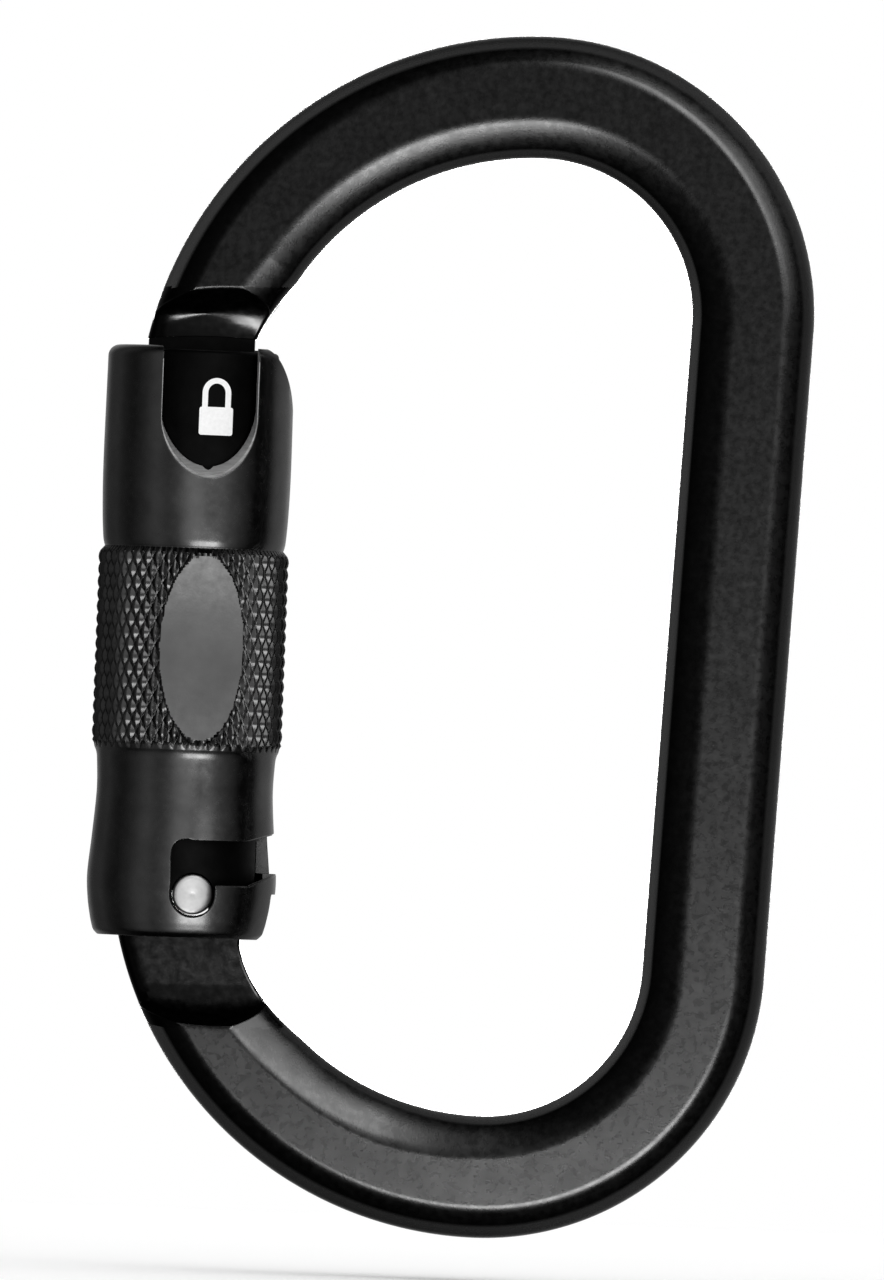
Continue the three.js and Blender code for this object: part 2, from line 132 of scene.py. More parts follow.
# The steps down from the full bar to the thinned neck and tang: height of the edge, its tilt and
# the slope in degrees, how far the edge's middle is drawn back along the bar, and the round at
# the foot, which can widen to both sides. The dome lowers the thinned face towards its sides.
NECK_STEP = {"edge": 55.5, "half": NECK_HALF, "tilt": 2.0, "slope": 50.0, "bow": 0.7,
             "foot": 0.05, "foot_growth": 4.0, "foot_from": -0.15, "dome": 0.1}
TANG_STEP = {"edge": -11.4, "half": TANG_HALF, "tilt": 1.0, "slope": 62.0, "bow": 0.8,
             "foot": 2.6, "foot_growth": 0.0, "foot_from": 0.0, "dome": 0.0}
STEP_PIVOT_X = 2.0  # the steps tilt about this point
STEP_EDGE_ROUND = 0.3
BOW_FADE = 2.5  # drop over which a step's rows turn straight
TANG_STRAIGHT = -7.5  # above this the tang has its plain section

# Section of the bar's edges: how wide the rounded part is, its slope in degrees at the flat,
# and the height where the straight side ends. A short bevel runs along the inner edge's flat.
OUTER_EDGE = {"width": 2.7, "slope": 27, "side": 2.2}
INNER_EDGE = {"width": 3.6, "bevel": 0.3, "bevel_slope": 18, "slope": 19.5, "side": 2.2}
HEEL_EDGE = {"width": 4.1, "bevel": 0.3, "bevel_slope": 18, "slope": 24.5, "side": 2.2}
HEEL_BLEND = 8.0  # how far across the inner edge takes to turn into the heel's

# Gate.
SHANK_RADIUS = 5.3
SHANK = (12.0, 36.0)
GATE_TOP = 50.3
TOP_SWEEP = 51.6
KEY_NECK = (0.9, 53.4)
KEY_HEAD = (1.8, 55.0)
KEY_LEFT = -2.1
TENON_LEFT = -4.9
PLUNGER_BORE_TOP = 31.0

# Sleeve.
BORE = 7.5
KNURL = (13.7, 31.8)
KNURL_STARTS = 48
KNURL_PITCH = 2.3
KNURL_DEPTH = 0.36
KNURL_FADE = 0.1  # how near to a dish the knurl starts to flatten
FEATURE_TURN = math.radians(8)
WINDOW_WIDTH = 8.9
WINDOW_BOTTOM = 38.65
WINDOW_RAKE = math.radians(38)
SLOT_WIDTH = 4.1
SLOT_LIFT = 3.0
SLOT_CORNER = 1.4
SLOT_SIDE_END = HINGE_X + SLOT_WIDTH / 2  # how far back its leg reaches round the side
CLIMB = {"start": 6.0, "end": 8.7, "bottom": 1.2, "top": 0.8}  # of the slot's leg
NOTCH_HALF = 2.5
NOTCH_TOP = 0.25
DISH_DEPTH = 0.9
DISH_RADIUS = 41.0
DISH_MIDDLE = (KNURL[0] + KNURL[1]) / 2
DISH_AXIS = KNURL_RADIUS - DISH_DEPTH + DISH_RADIUS  # its round's axis, from the sleeve's
DISH_REACH = 11.0  # of its cutter, above and below the middle
CLIP_GROOVE = 7.95
RIM_ROUND = 1.05
COLUMNS = KNURL_STARTS * 8  # around the sleeve


# ---- Mesh helpers ----

def make_object(name, vertices, faces):
    mesh = bpy.data.meshes.new(name)
    mesh.from_pydata([tuple(v) for v in vertices], [], [tuple(int(i) for i in f) for f in faces])
    mesh.validate()
    obj = bpy.data.objects.new(name, mesh)
    bpy.context.scene.collection.objects.link(obj)
    return obj


def outward(obj):
    """Turns the faces of a closed mesh outwards."""
    work = bmesh.new()
    work.from_mesh(obj.data)
    bmesh.ops.remove_doubles(work, verts=work.verts, dist=1e-5)
    bmesh.ops.recalc_face_normals(work, faces=work.faces)
    work.to_mesh(obj.data)
    work.free()
    return obj


def discard(obj):
    mesh = obj.data
    bpy.data.objects.remove(obj)
    bpy.data.meshes.remove(mesh)


def combine(target, cutter, operation, keep_cutter=False):
    """Joins, cuts or intersects target with another closed mesh, in place."""
    modifier = target.modifiers.new("combine", "BOOLEAN")
    modifier.operation = operation
    modifier.solver = "MANIFOLD"
    modifier.object = cutter
    bpy.context.view_layer.update()
    evaluated = target.evaluated_get(bpy.context.evaluated_depsgraph_get())
    result = bpy.data.meshes.new_from_object(evaluated)
    if len(result.polygons) == 0:
        raise RuntimeError(f"combining {target.name} with {cutter.name} left nothing")
    target.modifiers.clear()
    old = target.data
    target.data = result
    bpy.data.meshes.remove(old)
    if not keep_cutter:
        discard(cutter)
    return target


def cut(target, *cutters):
    for cutter in cutters:
        combine(target, cutter, "DIFFERENCE")
    return target


def prism(points, y_front, y_back, name="prism"):
    """An outline in x and z, given thickness along Y."""
    count = len(points)
    vertices = [(x, y_front, z) for x, z in points] + [(x, y_back, z) for x, z in points]
    faces = [tuple(range(count)), tuple(range(2 * count - 1, count - 1, -1))]
    faces += [(i, (i + 1) % count, (i + 1) % count + count, i + count) for i in range(count)]
    return outward(make_object(name, vertices, faces))


def arc(cx, cz, radius, start, end, steps, radius_z=None):
    """Points on an arc, angles in degrees."""
    radius_z = radius if radius_z is None else radius_z
    angles = np.radians(np.linspace(start, end, steps + 1))
    return [(cx + radius * math.cos(a), cz + radius_z * math.sin(a)) for a in angles]


def quadratic(p0, p1, p2, steps):
    p0, p1, p2 = (np.array(p, float) for p in (p0, p1, p2))
    return [tuple((1 - t) ** 2 * p0 + 2 * t * (1 - t) * p1 + t * t * p2)
            for t in np.linspace(0, 1, steps + 1)]


def box(low, high, name="box"):
    (x0, y0, z0), (x1, y1, z1) = low, high
    return prism([(x0, z0), (x1, z0), (x1, z1), (x0, z1)], y0, y1, name)


def lathe(name, profile, segments=128, centre=(0.0, 0.0)):
    """A closed body of revolution about Z. The profile is a closed loop of (radius, z), and
    points of it on the axis become poles."""
    vertices, rings = [], []
    for radius, z in profile:
        if radius < 1e-6:
            rings.append([len(vertices)] * segments)
            vertices.append((centre[0], centre[1], z))
        else:
            rings.append(list(range(len(vertices), len(vertices) + segments)))
            for k in range(segments):
                a = 2 * math.pi * k / segments
                vertices.append((centre[0] + radius * math.cos(a), centre[1] + radius * math.sin(a), z))
    faces = []
    loops = len(profile)
    for i in range(loops):
        a, b = rings[i], rings[(i + 1) % loops]
        for k in range(segments):
            n = (k + 1) % segments
            corners = [a[k], a[n], b[n], b[k]]
            corners = [c for j, c in enumerate(corners) if c != corners[j - 1]]
            if len(corners) >= 3:
                faces.append(corners)
    return outward(make_object(name, vertices, faces))


def rounded(profile, radius, steps=4):
    """The same closed loop with each corner cut by a small arc, as far as its sides allow."""
    result = []
    count = len(profile)
    for i in range(count):
        here = np.array(profile[i], float)
        before, after = np.array(profile[i - 1], float), np.array(profile[(i + 1) % count], float)
        if here[0] < 1e-6:
            result.append(tuple(here))
            continue
        back, ahead = before - here, after - here
        reach = min(radius, 0.45 * np.linalg.norm(back), 0.45 * np.linalg.norm(ahead))
        p0 = here + back / np.linalg.norm(back) * reach
        p2 = here + ahead / np.linalg.norm(ahead) * reach
        result += quadratic(p0, here, p2, steps)
    return result


def turn(obj, angle):
    obj.data.transform(Matrix.Rotation(angle, 4, "Z"))
    return obj


def shade(obj, angle=32):
    """Smooth shading, with edges sharper than the angle kept crisp."""
    obj.data.shade_smooth()
    obj.data.set_sharp_from_angle(angle=math.radians(angle))
    return obj


def finish_piece(obj, name, body, material, nodes=()):
    """Moves a piece from working millimetres to its place, and hands it to its body."""
    obj.name = name
    obj.data.name = name
    obj.data.transform(Matrix.Translation(ORIGIN) @ Matrix.Scale(MM, 4))
    finishes = [face.material_index for face in obj.data.polygons]
    obj.data.materials.clear()
    for one in material if isinstance(material, (list, tuple)) else [material]:
        obj.data.materials.append(one)
    obj.data.polygons.foreach_set("material_index", finishes)
    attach(obj, body)
    if nodes:
        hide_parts(*nodes)
    return obj


# ---- Materials ----

class Graph:
    """Small helper for building nodes."""

    def __init__(self, tree):
        self.nodes = tree.nodes
        self.links = tree.links

    def node(self, kind, **settings):
        made = self.nodes.new(kind)
        for key, value in settings.items():
            setattr(made, key, value)
        return made

    def link(self, source, target):
        self.links.new(source, target)

    def plug(self, value, target):
        """Links a socket, or sets a number or a colour."""
        if isinstance(value, bpy.types.NodeSocket):
            self.link(value, target)
        elif target.type == "RGBA":
            target.default_value = (*(value if isinstance(value, tuple) else [value] * 3), 1)
        else:
            target.default_value = value

    def ramp(self, source, *stops, interpolation="LINEAR"):
        """Colour ramp: stops are (position, value or colour)."""
        made = self.node("ShaderNodeValToRGB")
        made.color_ramp.interpolation = interpolation
        elements = made.color_ramp.elements
        while len(elements) < len(stops):
            elements.new(0.5)
        for element, (position, value) in zip(elements, stops):
            element.position = position
            colour = value if isinstance(value, tuple) else (value, value, value)
            element.color = (*colour, 1)
        self.link(source, made.inputs["Fac"])
        return made.outputs["Color"]

    def math(self, operation, a, b):
        made = self.node("ShaderNodeMath", operation=operation)
        for socket, value in zip(made.inputs, (a, b)):
            self.plug(value, socket)
        return made.outputs["Value"]

    def mix(self, factor, a, b, blend="MIX"):
        made = self.node("ShaderNodeMix", data_type="RGBA", blend_type=blend)
        self.plug(factor, made.inputs["Factor"])
        for side, value in (("A", a), ("B", b)):
            socket = next(i for i in made.inputs if i.name == side and i.type == "RGBA")
            self.plug(value, socket)
        return next(o for o in made.outputs if o.type == "RGBA")


class Surface(Graph):
    """A material's nodes, around its principled shader."""

    def __init__(self, name):
        self.material = bpy.data.materials.new(name)
        self.material.use_nodes = True
        super().__init__(self.material.node_tree)
        self.shader = self.nodes["Principled BSDF"]
        self.place = self.nodes.new("ShaderNodeTexCoord").outputs["Object"]

    def noise(self, scale, detail=3.0, roughness=0.55, stretch=(1, 1, 1)):
        """Noise of the given number of features a metre."""
        mapping = self.node("ShaderNodeMapping")
        mapping.inputs["Scale"].default_value = stretch
        self.link(self.place, mapping.inputs["Vector"])
        made = self.node("ShaderNodeTexNoise")
        made.inputs["Scale"].default_value = scale
        made.inputs["Detail"].default_value = detail
        made.inputs["Roughness"].default_value = roughness
        self.link(mapping.outputs["Vector"], made.inputs["Vector"])
        return made.outputs["Fac"]

    def bump(self, height, distance, strength=1.0, normal=None):
        made = self.node("ShaderNodeBump")
        made.inputs["Strength"].default_value = strength
        made.inputs["Distance"].default_value = distance
        self.link(height, made.inputs["Height"])
        if normal is not None:
            self.link(normal, made.inputs["Normal"])
        return made.outputs["Normal"]

    def soft_edges(self, radius):
        made = self.node("ShaderNodeBevel", samples=4)
        made.inputs["Radius"].default_value = radius
        return made.outputs["Normal"]

    def edge_wear(self, width):
        """Near 1 along outward edges narrower than the width, else 0."""
        soft = self.node("ShaderNodeBevel", samples=4)
        soft.inputs["Radius"].default_value = width
        sharp = self.node("ShaderNodeNewGeometry")
        dot = self.node("ShaderNodeVectorMath", operation="DOT_PRODUCT")
        self.link(soft.outputs["Normal"], dot.inputs[0])
        self.link(sharp.outputs["Normal"], dot.inputs[1])
        return self.ramp(dot.outputs["Value"], (0.9, 1.0), (0.985, 0.0))

    def set(self, socket, value):
        self.plug(value, self.shader.inputs[socket])


def anodised(name, dark, light, roughness, grain, edge_radius, wear=0.0, painted_rim_sheen=0.0):
    """Black anodised aluminium: fine blasted grain, cloudy tone and a little wear. The painted rim
    sheen is a painted reflection: a pale sheen whose weight follows the viewing angle, so that it shows
    at a glancing angle."""
    g = Surface(name)
    clouds = g.noise(420, 4)
    fine = g.noise(5200, 2)
    tone = g.ramp(clouds, (0.3, dark), (0.75, light))
    if wear:
        patchy = g.ramp(g.noise(900, 4), (0.42, 0.0), (0.6, 1.0))
        worn = g.math("MULTIPLY", g.math("MULTIPLY", g.edge_wear(0.00025), patchy), wear)
        tone = g.mix(worn, tone, (0.42, 0.42, 0.42))
    g.set("Base Color", tone)
    g.set("Metallic", 1.0)
    g.set("Roughness", g.ramp(g.noise(1500, 3), (0.3, roughness - 0.04), (0.7, roughness + 0.05)))
    # Painted reflection: a pale sheen, its weight set by the viewing angle, brightens the rims at a
    # glancing angle.
    if painted_rim_sheen:
        glancing = g.node("ShaderNodeLayerWeight")
        g.set("Sheen Weight", g.ramp(glancing.outputs["Facing"], (0.23, 0.0), (0.28, painted_rim_sheen),
                                     (0.4, 0.45 * painted_rim_sheen), (0.51, 0.16 * painted_rim_sheen), (0.66, 0.04 * painted_rim_sheen)))
        g.set("Sheen Roughness", 0.3)
    g.set("Normal", g.bump(fine, 0.00002, grain, g.soft_edges(edge_radius)))
    return g.material


def turned_steel(name, tone, roughness, ring_scale):
    """Bright turned steel, with faint tool rings."""
    g = Surface(name)
    rings = g.noise(ring_scale, 2, stretch=(1, 0.15, 1))
    g.set("Base Color", g.ramp(g.noise(700, 3), (0.3, tone * 0.86), (0.7, tone)))
    g.set("Metallic", 1.0)
    g.set("Roughness", g.ramp(rings, (0.3, roughness), (0.7, roughness + 0.14)))
    g.set("Normal", g.bump(rings, 0.00001, 0.6, g.soft_edges(0.0001)))
    return g.material


def bare_aluminium():
    """Milled edges: the anodising is cut through."""
    g = Surface("bare_aluminium")
    streaks = g.noise(2600, 3, stretch=(0.3, 0.3, 3))
    g.set("Base Color", g.ramp(streaks, (0.3, 0.32), (0.7, 0.52)))
    g.set("Metallic", 0.7)
    g.set("Roughness", g.ramp(streaks, (0.3, 0.34), (0.7, 0.5)))
    g.set("Normal", g.bump(streaks, 0.00001, 0.5))
    return g.material


def printed_white():
    g = Surface("printed_white")
    g.set("Base Color", g.ramp(g.noise(3000, 3), (0.3, 0.86), (0.7, 0.95)))
    g.set("Roughness", 0.55)
    g.set("Normal", g.bump(g.noise(9000, 2), 0.00001, 0.5))
    return g.material


# The bar's rims get a painted reflection: a pale sheen that shows at a glancing angle.
frame_black = anodised("frame_black", 0.0045, 0.006, 0.28, 0.35, 0.00012, wear=0.12, painted_rim_sheen=0.7)
milled_black = anodised("milled_black", 0.005, 0.006, 0.2, 0.15, 0.00008)
sleeve_black = anodised("sleeve_black", 0.080, 0.115, 0.24, 0.15, 0.00008, wear=0.2)
knurl_black = anodised("knurl_black", 0.055, 0.075, 0.2, 0.15, 0.00005)
dish_black = anodised("dish_black", 0.09, 0.11, 0.42, 0.3, 0.00008)
gate_black = anodised("gate_black", 0.004, 0.007, 0.5, 0.3, 0.00012)
pin_steel = turned_steel("pin_steel", 0.5, 0.36, 3000)
ring_steel = turned_steel("ring_steel", 0.55, 0.3, 2600)
spring_steel = turned_steel("spring_steel", 0.5, 0.26, 3200)
cut_aluminium = bare_aluminium()
white_print = printed_white()


# ---- Frame ----

HALF = BAR_WIDTH / 2
SHOULDER = (UPPER_BOW[0], UPPER_BOW[1] - (SHOULDER_RADIUS - UPPER_BOW[2]))
HEEL = (LOWER_BOW[0], LOWER_BOW[1] + (HEEL_RADIUS - LOWER_BOW[2]))
SPINE_LEAN = math.degrees(
    math.atan2(UPPER_BOW[0] - LOWER_BOW[0], UPPER_BOW[1] - LOWER_BOW[1])
    - math.asin((LOWER_BOW[2] - UPPER_BOW[2])
                / math.hypot(UPPER_BOW[0] - LOWER_BOW[0], UPPER_BOW[1] - LOWER_BOW[1])))
NECK_ANGLE = 149  # where the inner edge turns down into the neck
NECK_BEND = (5.8, 53.6)
NECK_STRAIGHT = 51.2
NOSE_BLANK = 50.6
HOLLOW_ANGLE = -133  # where the inner edge turns up into the tang
HOLLOW_BEND = (6.3, -8.8)
HOLLOW_TOP = (5.6, -4.5)
HEEL_END = -3.9
TANG_SIDE = (150, -12)  # where the rounded end starts, left and right


def on_bow(centre, radius, angle, radius_z=None):
    return arc(centre[0], centre[1], radius, angle, angle, 0, radius_z)[0]


def flat_angle():
    return math.degrees(math.asin(TANG_FLAT / TANG_RADIUS))


def outer_boundary():
    """Dense points along the frame's outer edge, from the nose round to the tang's flat."""
    nose = 180 - math.degrees(math.asin((NOSE_BLANK - 3 - SHOULDER[1]) / (SHOULDER_RADIUS + HALF)))
    heel_end = 180 - math.degrees(math.asin((HEEL_END - HEEL[1]) / (HEEL_RADIUS + HALF))) - 360
    points = arc(*SHOULDER, SHOULDER_RADIUS + HALF, nose, 90, 300)
    points += arc(*UPPER_BOW[:2], UPPER_BOW[2] + HALF, 90, -SPINE_LEAN, 300)
    points += arc(*LOWER_BOW[:2], LOWER_BOW[2] + HALF, -SPINE_LEAN, -90, 300)
    points += arc(*HEEL, HEEL_RADIUS + HALF, -90, heel_end, 300)
    points += arc(HINGE_X, 0, TANG_RADIUS, TANG_SIDE[0], 180 - flat_angle(), 30)
    return np.array(points)


def inner_boundary():
    """Dense points along the frame's inner edge, from the nose round to the tang's flat."""
    shoulder = SHOULDER_RADIUS - HALF
    heel = HEEL_RADIUS - HALF
    neck_end = on_bow(SHOULDER, shoulder + INNER_SLIMMING, NECK_ANGLE, shoulder)
    hollow = on_bow(HEEL, heel + INNER_SLIMMING, HOLLOW_ANGLE, heel)
    points = [(NECK_RIGHT, NOSE_BLANK - 3)]
    points += quadratic((NECK_RIGHT, NECK_STRAIGHT), NECK_BEND, neck_end, 60)
    points += arc(*SHOULDER, shoulder + INNER_SLIMMING, NECK_ANGLE, 90, 300, shoulder)
    points += arc(*UPPER_BOW[:2], UPPER_BOW[2] - HALF, 90, -SPINE_LEAN, 300)
    points += arc(*LOWER_BOW[:2], LOWER_BOW[2] - HALF, -SPINE_LEAN, -90, 300)
    points += arc(*HEEL, heel + INNER_SLIMMING, -90, HOLLOW_ANGLE, 300, heel)
    points += quadratic(hollow, HOLLOW_BEND, HOLLOW_TOP, 60)
    points += arc(HINGE_X, 0, TANG_RADIUS, TANG_SIDE[1], flat_angle(), 40)
    return np.array(points)


OUTER = outer_boundary()
INNER = inner_boundary()


def crossing(boundary, height, tilt):
    """Where the line z = height + tilt * (x - pivot) meets a boundary near the gate's end."""
    level = boundary[:, 1] - height - tilt * (boundary[:, 0] - STEP_PIVOT_X)
    near = np.abs(boundary[:, 0] - STEP_PIVOT_X) < 16
    swaps = np.nonzero((level[:-1] * level[1:] <= 0) & near[:-1] & near[1:])[0]
    found = [boundary[i] + (boundary[i + 1] - boundary[i]) * (level[i] / (level[i] - level[i + 1]))
             for i in swaps if level[i] != level[i + 1]]
    return min(found, key=lambda p: abs(p[1] - height))


def distance_to(points, boundary):
    """Distance from each point to a boundary's nearest segment."""
    a, b = boundary[:-1], boundary[1:]
    ab = b - a
    keep = (ab ** 2).sum(1) > 1e-12
    a, ab = a[keep], ab[keep]
    t = ((points[:, None, :] - a) * ab).sum(2) / (ab ** 2).sum(1)
    nearest = a + np.clip(t, 0, 1)[:, :, None] * ab
    return np.sqrt(((points[:, None, :] - nearest) ** 2).sum(2)).min(1)


def outer_edge_curve():
    """(offset, height) from the side up to the flat, at the bar's outer edge."""
    e = OUTER_EDGE
    bend = BAR_HALF - e["width"] * math.tan(math.radians(e["slope"]))
    return np.array(quadratic((0, e["side"]), (0, bend), (e["width"], BAR_HALF), 24))


def inner_edge_curve(e):
    """The same at the inner edge, where a bevel runs beside the flat."""
    bevel_end = (e["width"] - e["bevel"],
                 BAR_HALF - e["bevel"] * math.tan(math.radians(e["bevel_slope"])))
    bend = bevel_end[1] - bevel_end[0] * math.tan(math.radians(e["slope"]))
    curve = quadratic((0, e["side"]), (0, bend), bevel_end, 24)
    return np.array(curve + [(e["width"], BAR_HALF)])


SIDE_STEPS, CURVE_STEPS, CORNER_STEPS, FLAT_STEPS = 3, 12, 5, 12


def edge_points(curve, limit, corner, corner_width):
    """(offset, height) from mid-side to the flat, for a bar thinned to `limit`. The corner
    that the thinning leaves is rounded."""
    full = limit >= BAR_HALF - 1e-6
    top = BAR_HALF if full else max(limit - corner, 0.3)
    side_top = min(curve[0, 1], top)
    points = [(0.0, side_top * k / SIDE_STEPS) for k in range(SIDE_STEPS)]
    if top > curve[0, 1]:
        end = np.interp(top, curve[:, 1], np.arange(len(curve)))
    else:
        end = 0.0
    index = np.linspace(0, end, CURVE_STEPS + 1)
    offsets = np.interp(index, np.arange(len(curve)), curve[:, 0])
    heights = np.interp(index, np.arange(len(curve)), curve[:, 1])
    if end == 0.0:
        heights[:] = side_top
    points += list(zip(offsets, heights))
    last = points[-1]
    width = 0.0 if full else corner_width
    for k in range(1, CORNER_STEPS + 1):
        a = math.pi / 2 * k / CORNER_STEPS
        points.append((last[0] + width * (1 - math.cos(a)),
                       last[1] + (0.0 if full else (limit - last[1])) * math.sin(a)))
    return np.array(points)


def foot_drop(step):
    """How far below the step's edge its slope would meet the thinned face."""
    return (BAR_HALF - step["half"]) / math.tan(math.radians(step["slope"]))


def rounding(past, radius, slope):
    """How far the round between a level face and a slope stands off their corner, at a distance
    past it."""
    slope = math.radians(slope)
    reach = radius * np.tan(slope / 2)
    inside = (past > -reach) & (past < reach * np.cos(slope))
    run = np.where(inside, past + reach, 0.0)
    sharp = np.maximum(past, 0.0) * np.tan(slope)
    return np.where(inside, radius - np.sqrt(np.maximum(radius ** 2 - run ** 2, 0.0)) - sharp, 0.0)


def step_limit(step, drop):
    """Half thickness at a drop below the step's edge, without the round at its foot."""
    sloped = min(max(drop, 0.0), foot_drop(step)) * math.tan(math.radians(step["slope"]))
    return BAR_HALF - sloped - float(rounding(drop, STEP_EDGE_ROUND, step["slope"]))


def frame_rows():
    """Rows across the bar from the nose to the tang: outer point, inner point, thinning limit,
    how much the thinned corners are rounded, the step with the drop below its edge, and how far
    the row's middle is drawn back along the bar."""
    rows = []

    def add_line(height, tilt, limit, share, step=None, drop=0.0, bow=0.0):
        slope = math.tan(math.radians(tilt))
        rows.append((crossing(OUTER, height, slope), crossing(INNER, height, slope), limit, share,
                     step, drop, bow))

    def add_step(step, drops, away):
        """A step's rows, at drops below its edge. The way down is along Z, away 1 or -1."""
        for drop in drops:
            limit = step_limit(step, drop)
            share = (BAR_HALF - limit) / (BAR_HALF - step["half"])
            bow = away * step["bow"] * (1 - min(max(drop / BOW_FADE, 0.0), 1.0))
            add_line(step["edge"] + away * drop, step["tilt"], limit, share, step, drop, bow)

    def add_arc(bow, radius, start, end, count, slim=0.0):
        for a in np.linspace(start, end, count + 1)[:-1]:
            rows.append((np.array(on_bow(bow, radius + HALF, a)),
                         np.array(on_bow(bow, radius - HALF + slim, a, radius - HALF)),
                         BAR_HALF, 0.0, None, 0.0, 0.0))

    # Nose and neck, up to the step's edge.
    neck_start = NOSE_BLANK + 0.4
    for height in np.linspace(NOSE_BLANK, neck_start, 4)[:-1]:
        share = (height - NOSE_BLANK) / (neck_start - NOSE_BLANK)
        add_line(height, NECK_STEP["tilt"] * share, NECK_HALF, 1.0, NECK_STEP,
                 NECK_STEP["edge"] - height)
    add_step(NECK_STEP, np.linspace(NECK_STEP["edge"] - neck_start, 0.3, 56)[:-1], -1)
    add_step(NECK_STEP, np.linspace(0.3, -0.14, 12), -1)

    # Fan from the step round to the bow's own radial rows.
    fan_end_angle = NECK_ANGLE - 4
    shoulder = SHOULDER_RADIUS - HALF
    outer_end = np.array(on_bow(SHOULDER, SHOULDER_RADIUS + HALF, fan_end_angle))
    inner_end = np.array(on_bow(SHOULDER, shoulder + INNER_SLIMMING, fan_end_angle, shoulder))
    rows.extend(fan(rows[-1], (outer_end, inner_end), 40, -NECK_STEP["bow"], 0.0))

    add_arc(SHOULDER, SHOULDER_RADIUS, fan_end_angle, 90, 90, INNER_SLIMMING)
    add_arc(UPPER_BOW[:2], UPPER_BOW[2], 90, -SPINE_LEAN, 110)
    add_arc(LOWER_BOW[:2], LOWER_BOW[2], -SPINE_LEAN, -90, 110)
    fan_angle = HOLLOW_ANGLE + 16
    add_arc(HEEL, HEEL_RADIUS, -90, fan_angle, 60, INNER_SLIMMING)

    # Fan into the tang's step, then the tang.
    heel = HEEL_RADIUS - HALF
    start = (np.array(on_bow(HEEL, HEEL_RADIUS + HALF, fan_angle)),
             np.array(on_bow(HEEL, heel + INNER_SLIMMING, fan_angle, heel)))
    slope = math.tan(math.radians(TANG_STEP["tilt"]))
    first = TANG_STEP["edge"] - 0.2
    end = (crossing(OUTER, first, slope), crossing(INNER, first, slope))
    rows.append((*start, BAR_HALF, 0.0, None, 0.0, 0.0))
    rows.extend(fan(rows[-1], end, 40, 0.0, TANG_STEP["bow"]))
    add_step(TANG_STEP, np.linspace(-0.2, 0.3, 12)[:-1], 1)
    add_step(TANG_STEP, np.linspace(0.3, TANG_STRAIGHT - TANG_STEP["edge"], 44), 1)
    for height in np.linspace(TANG_STRAIGHT, TANG_TOP, 9)[1:]:
        share = (height - TANG_TOP) / (TANG_STRAIGHT - TANG_TOP)
        add_line(height, TANG_STEP["tilt"] * share, TANG_HALF, 1.0)
    for height in np.linspace(TANG_TOP, TANG_FLAT - 1e-3, 28)[1:]:
        add_line(height, 0.0, TANG_HALF, max(0.0, min(1.0, height / TANG_TOP)))
    return rows


def along(boundary, start, end, count):
    """Evenly spaced points on a boundary between two of its points."""
    steps = np.linalg.norm(np.diff(boundary, axis=0), axis=1)
    length = np.concatenate([[0], np.cumsum(steps)])
    at = [length[np.argmin(np.linalg.norm(boundary - p, axis=1))] for p in (start, end)]
    wanted = np.linspace(at[0], at[1], count)
    points = np.stack([np.interp(wanted, length, boundary[:, k]) for k in (0, 1)], axis=1)
    points[0], points[-1] = start, end
    return points


def fan(start, end, count, start_bow, end_bow):
    """Rows that swing from one row's place to another, at full thickness."""
    outer = along(OUTER, start[0], end[0], count)
    inner = along(INNER, start[1], end[1], count)
    bows = np.linspace(start_bow, end_bow, count)
    return [(o, i, BAR_HALF, 0.0, None, 0.0, b)
            for o, i, b in zip(outer[1:-1], inner[1:-1], bows[1:-1])]


OUTER_CURVE = outer_edge_curve()
INNER_CURVE = inner_edge_curve(INNER_EDGE)
HEEL_CURVE = inner_edge_curve(HEEL_EDGE)
OUTER_CORNER = (1.1, 1.5)  # height and width of the thinned bar's rounded corner
INNER_CORNER = (0.3, 0.35)


def place_on_row(outer_point, inner_point, offsets_outer, offsets_inner):
    """Points on a row at true distances from the two edges, then even steps between."""
    samples = np.linspace(0, 1, 81)
    points = outer_point + samples[:, None] * (inner_point - outer_point)
    near_outer = OUTER[np.linalg.norm(OUTER - outer_point, axis=1) < 16]
    near_inner = INNER[np.linalg.norm(INNER - inner_point, axis=1) < 16]
    from_outer = np.maximum.accumulate(distance_to(points, near_outer))
    from_inner = np.maximum.accumulate(distance_to(points[::-1], near_inner))
    left = np.interp(offsets_outer, from_outer, samples)
    right = 1 - np.interp(offsets_inner, from_inner, samples)
    middle = np.linspace(left[-1], right[-1], FLAT_STEPS + 1)[1:-1]
    share = np.concatenate([left, middle, right[::-1]])
    return outer_point + share[:, None] * (inner_point - outer_point)


def heading(boundary, point):
    """The way a boundary runs near a point, as a step of 1 mm in height."""
    i = int(np.argmin(np.linalg.norm(boundary - point, axis=1)))
    way = boundary[min(i + 4, len(boundary) - 1)] - boundary[max(i - 4, 0)]
    return way / way[1]


def bow_row(places, across, bow, outer_point, inner_point):
    """Draws a row's middle along the bar, so that the lines of its edges stay in place."""
    inner_share = ((across + 1) / 2)[:, None]
    way = (1 - inner_share) * heading(OUTER, outer_point) + inner_share * heading(INNER, inner_point)
    return places - bow * (1 - across ** 2)[:, None] * way


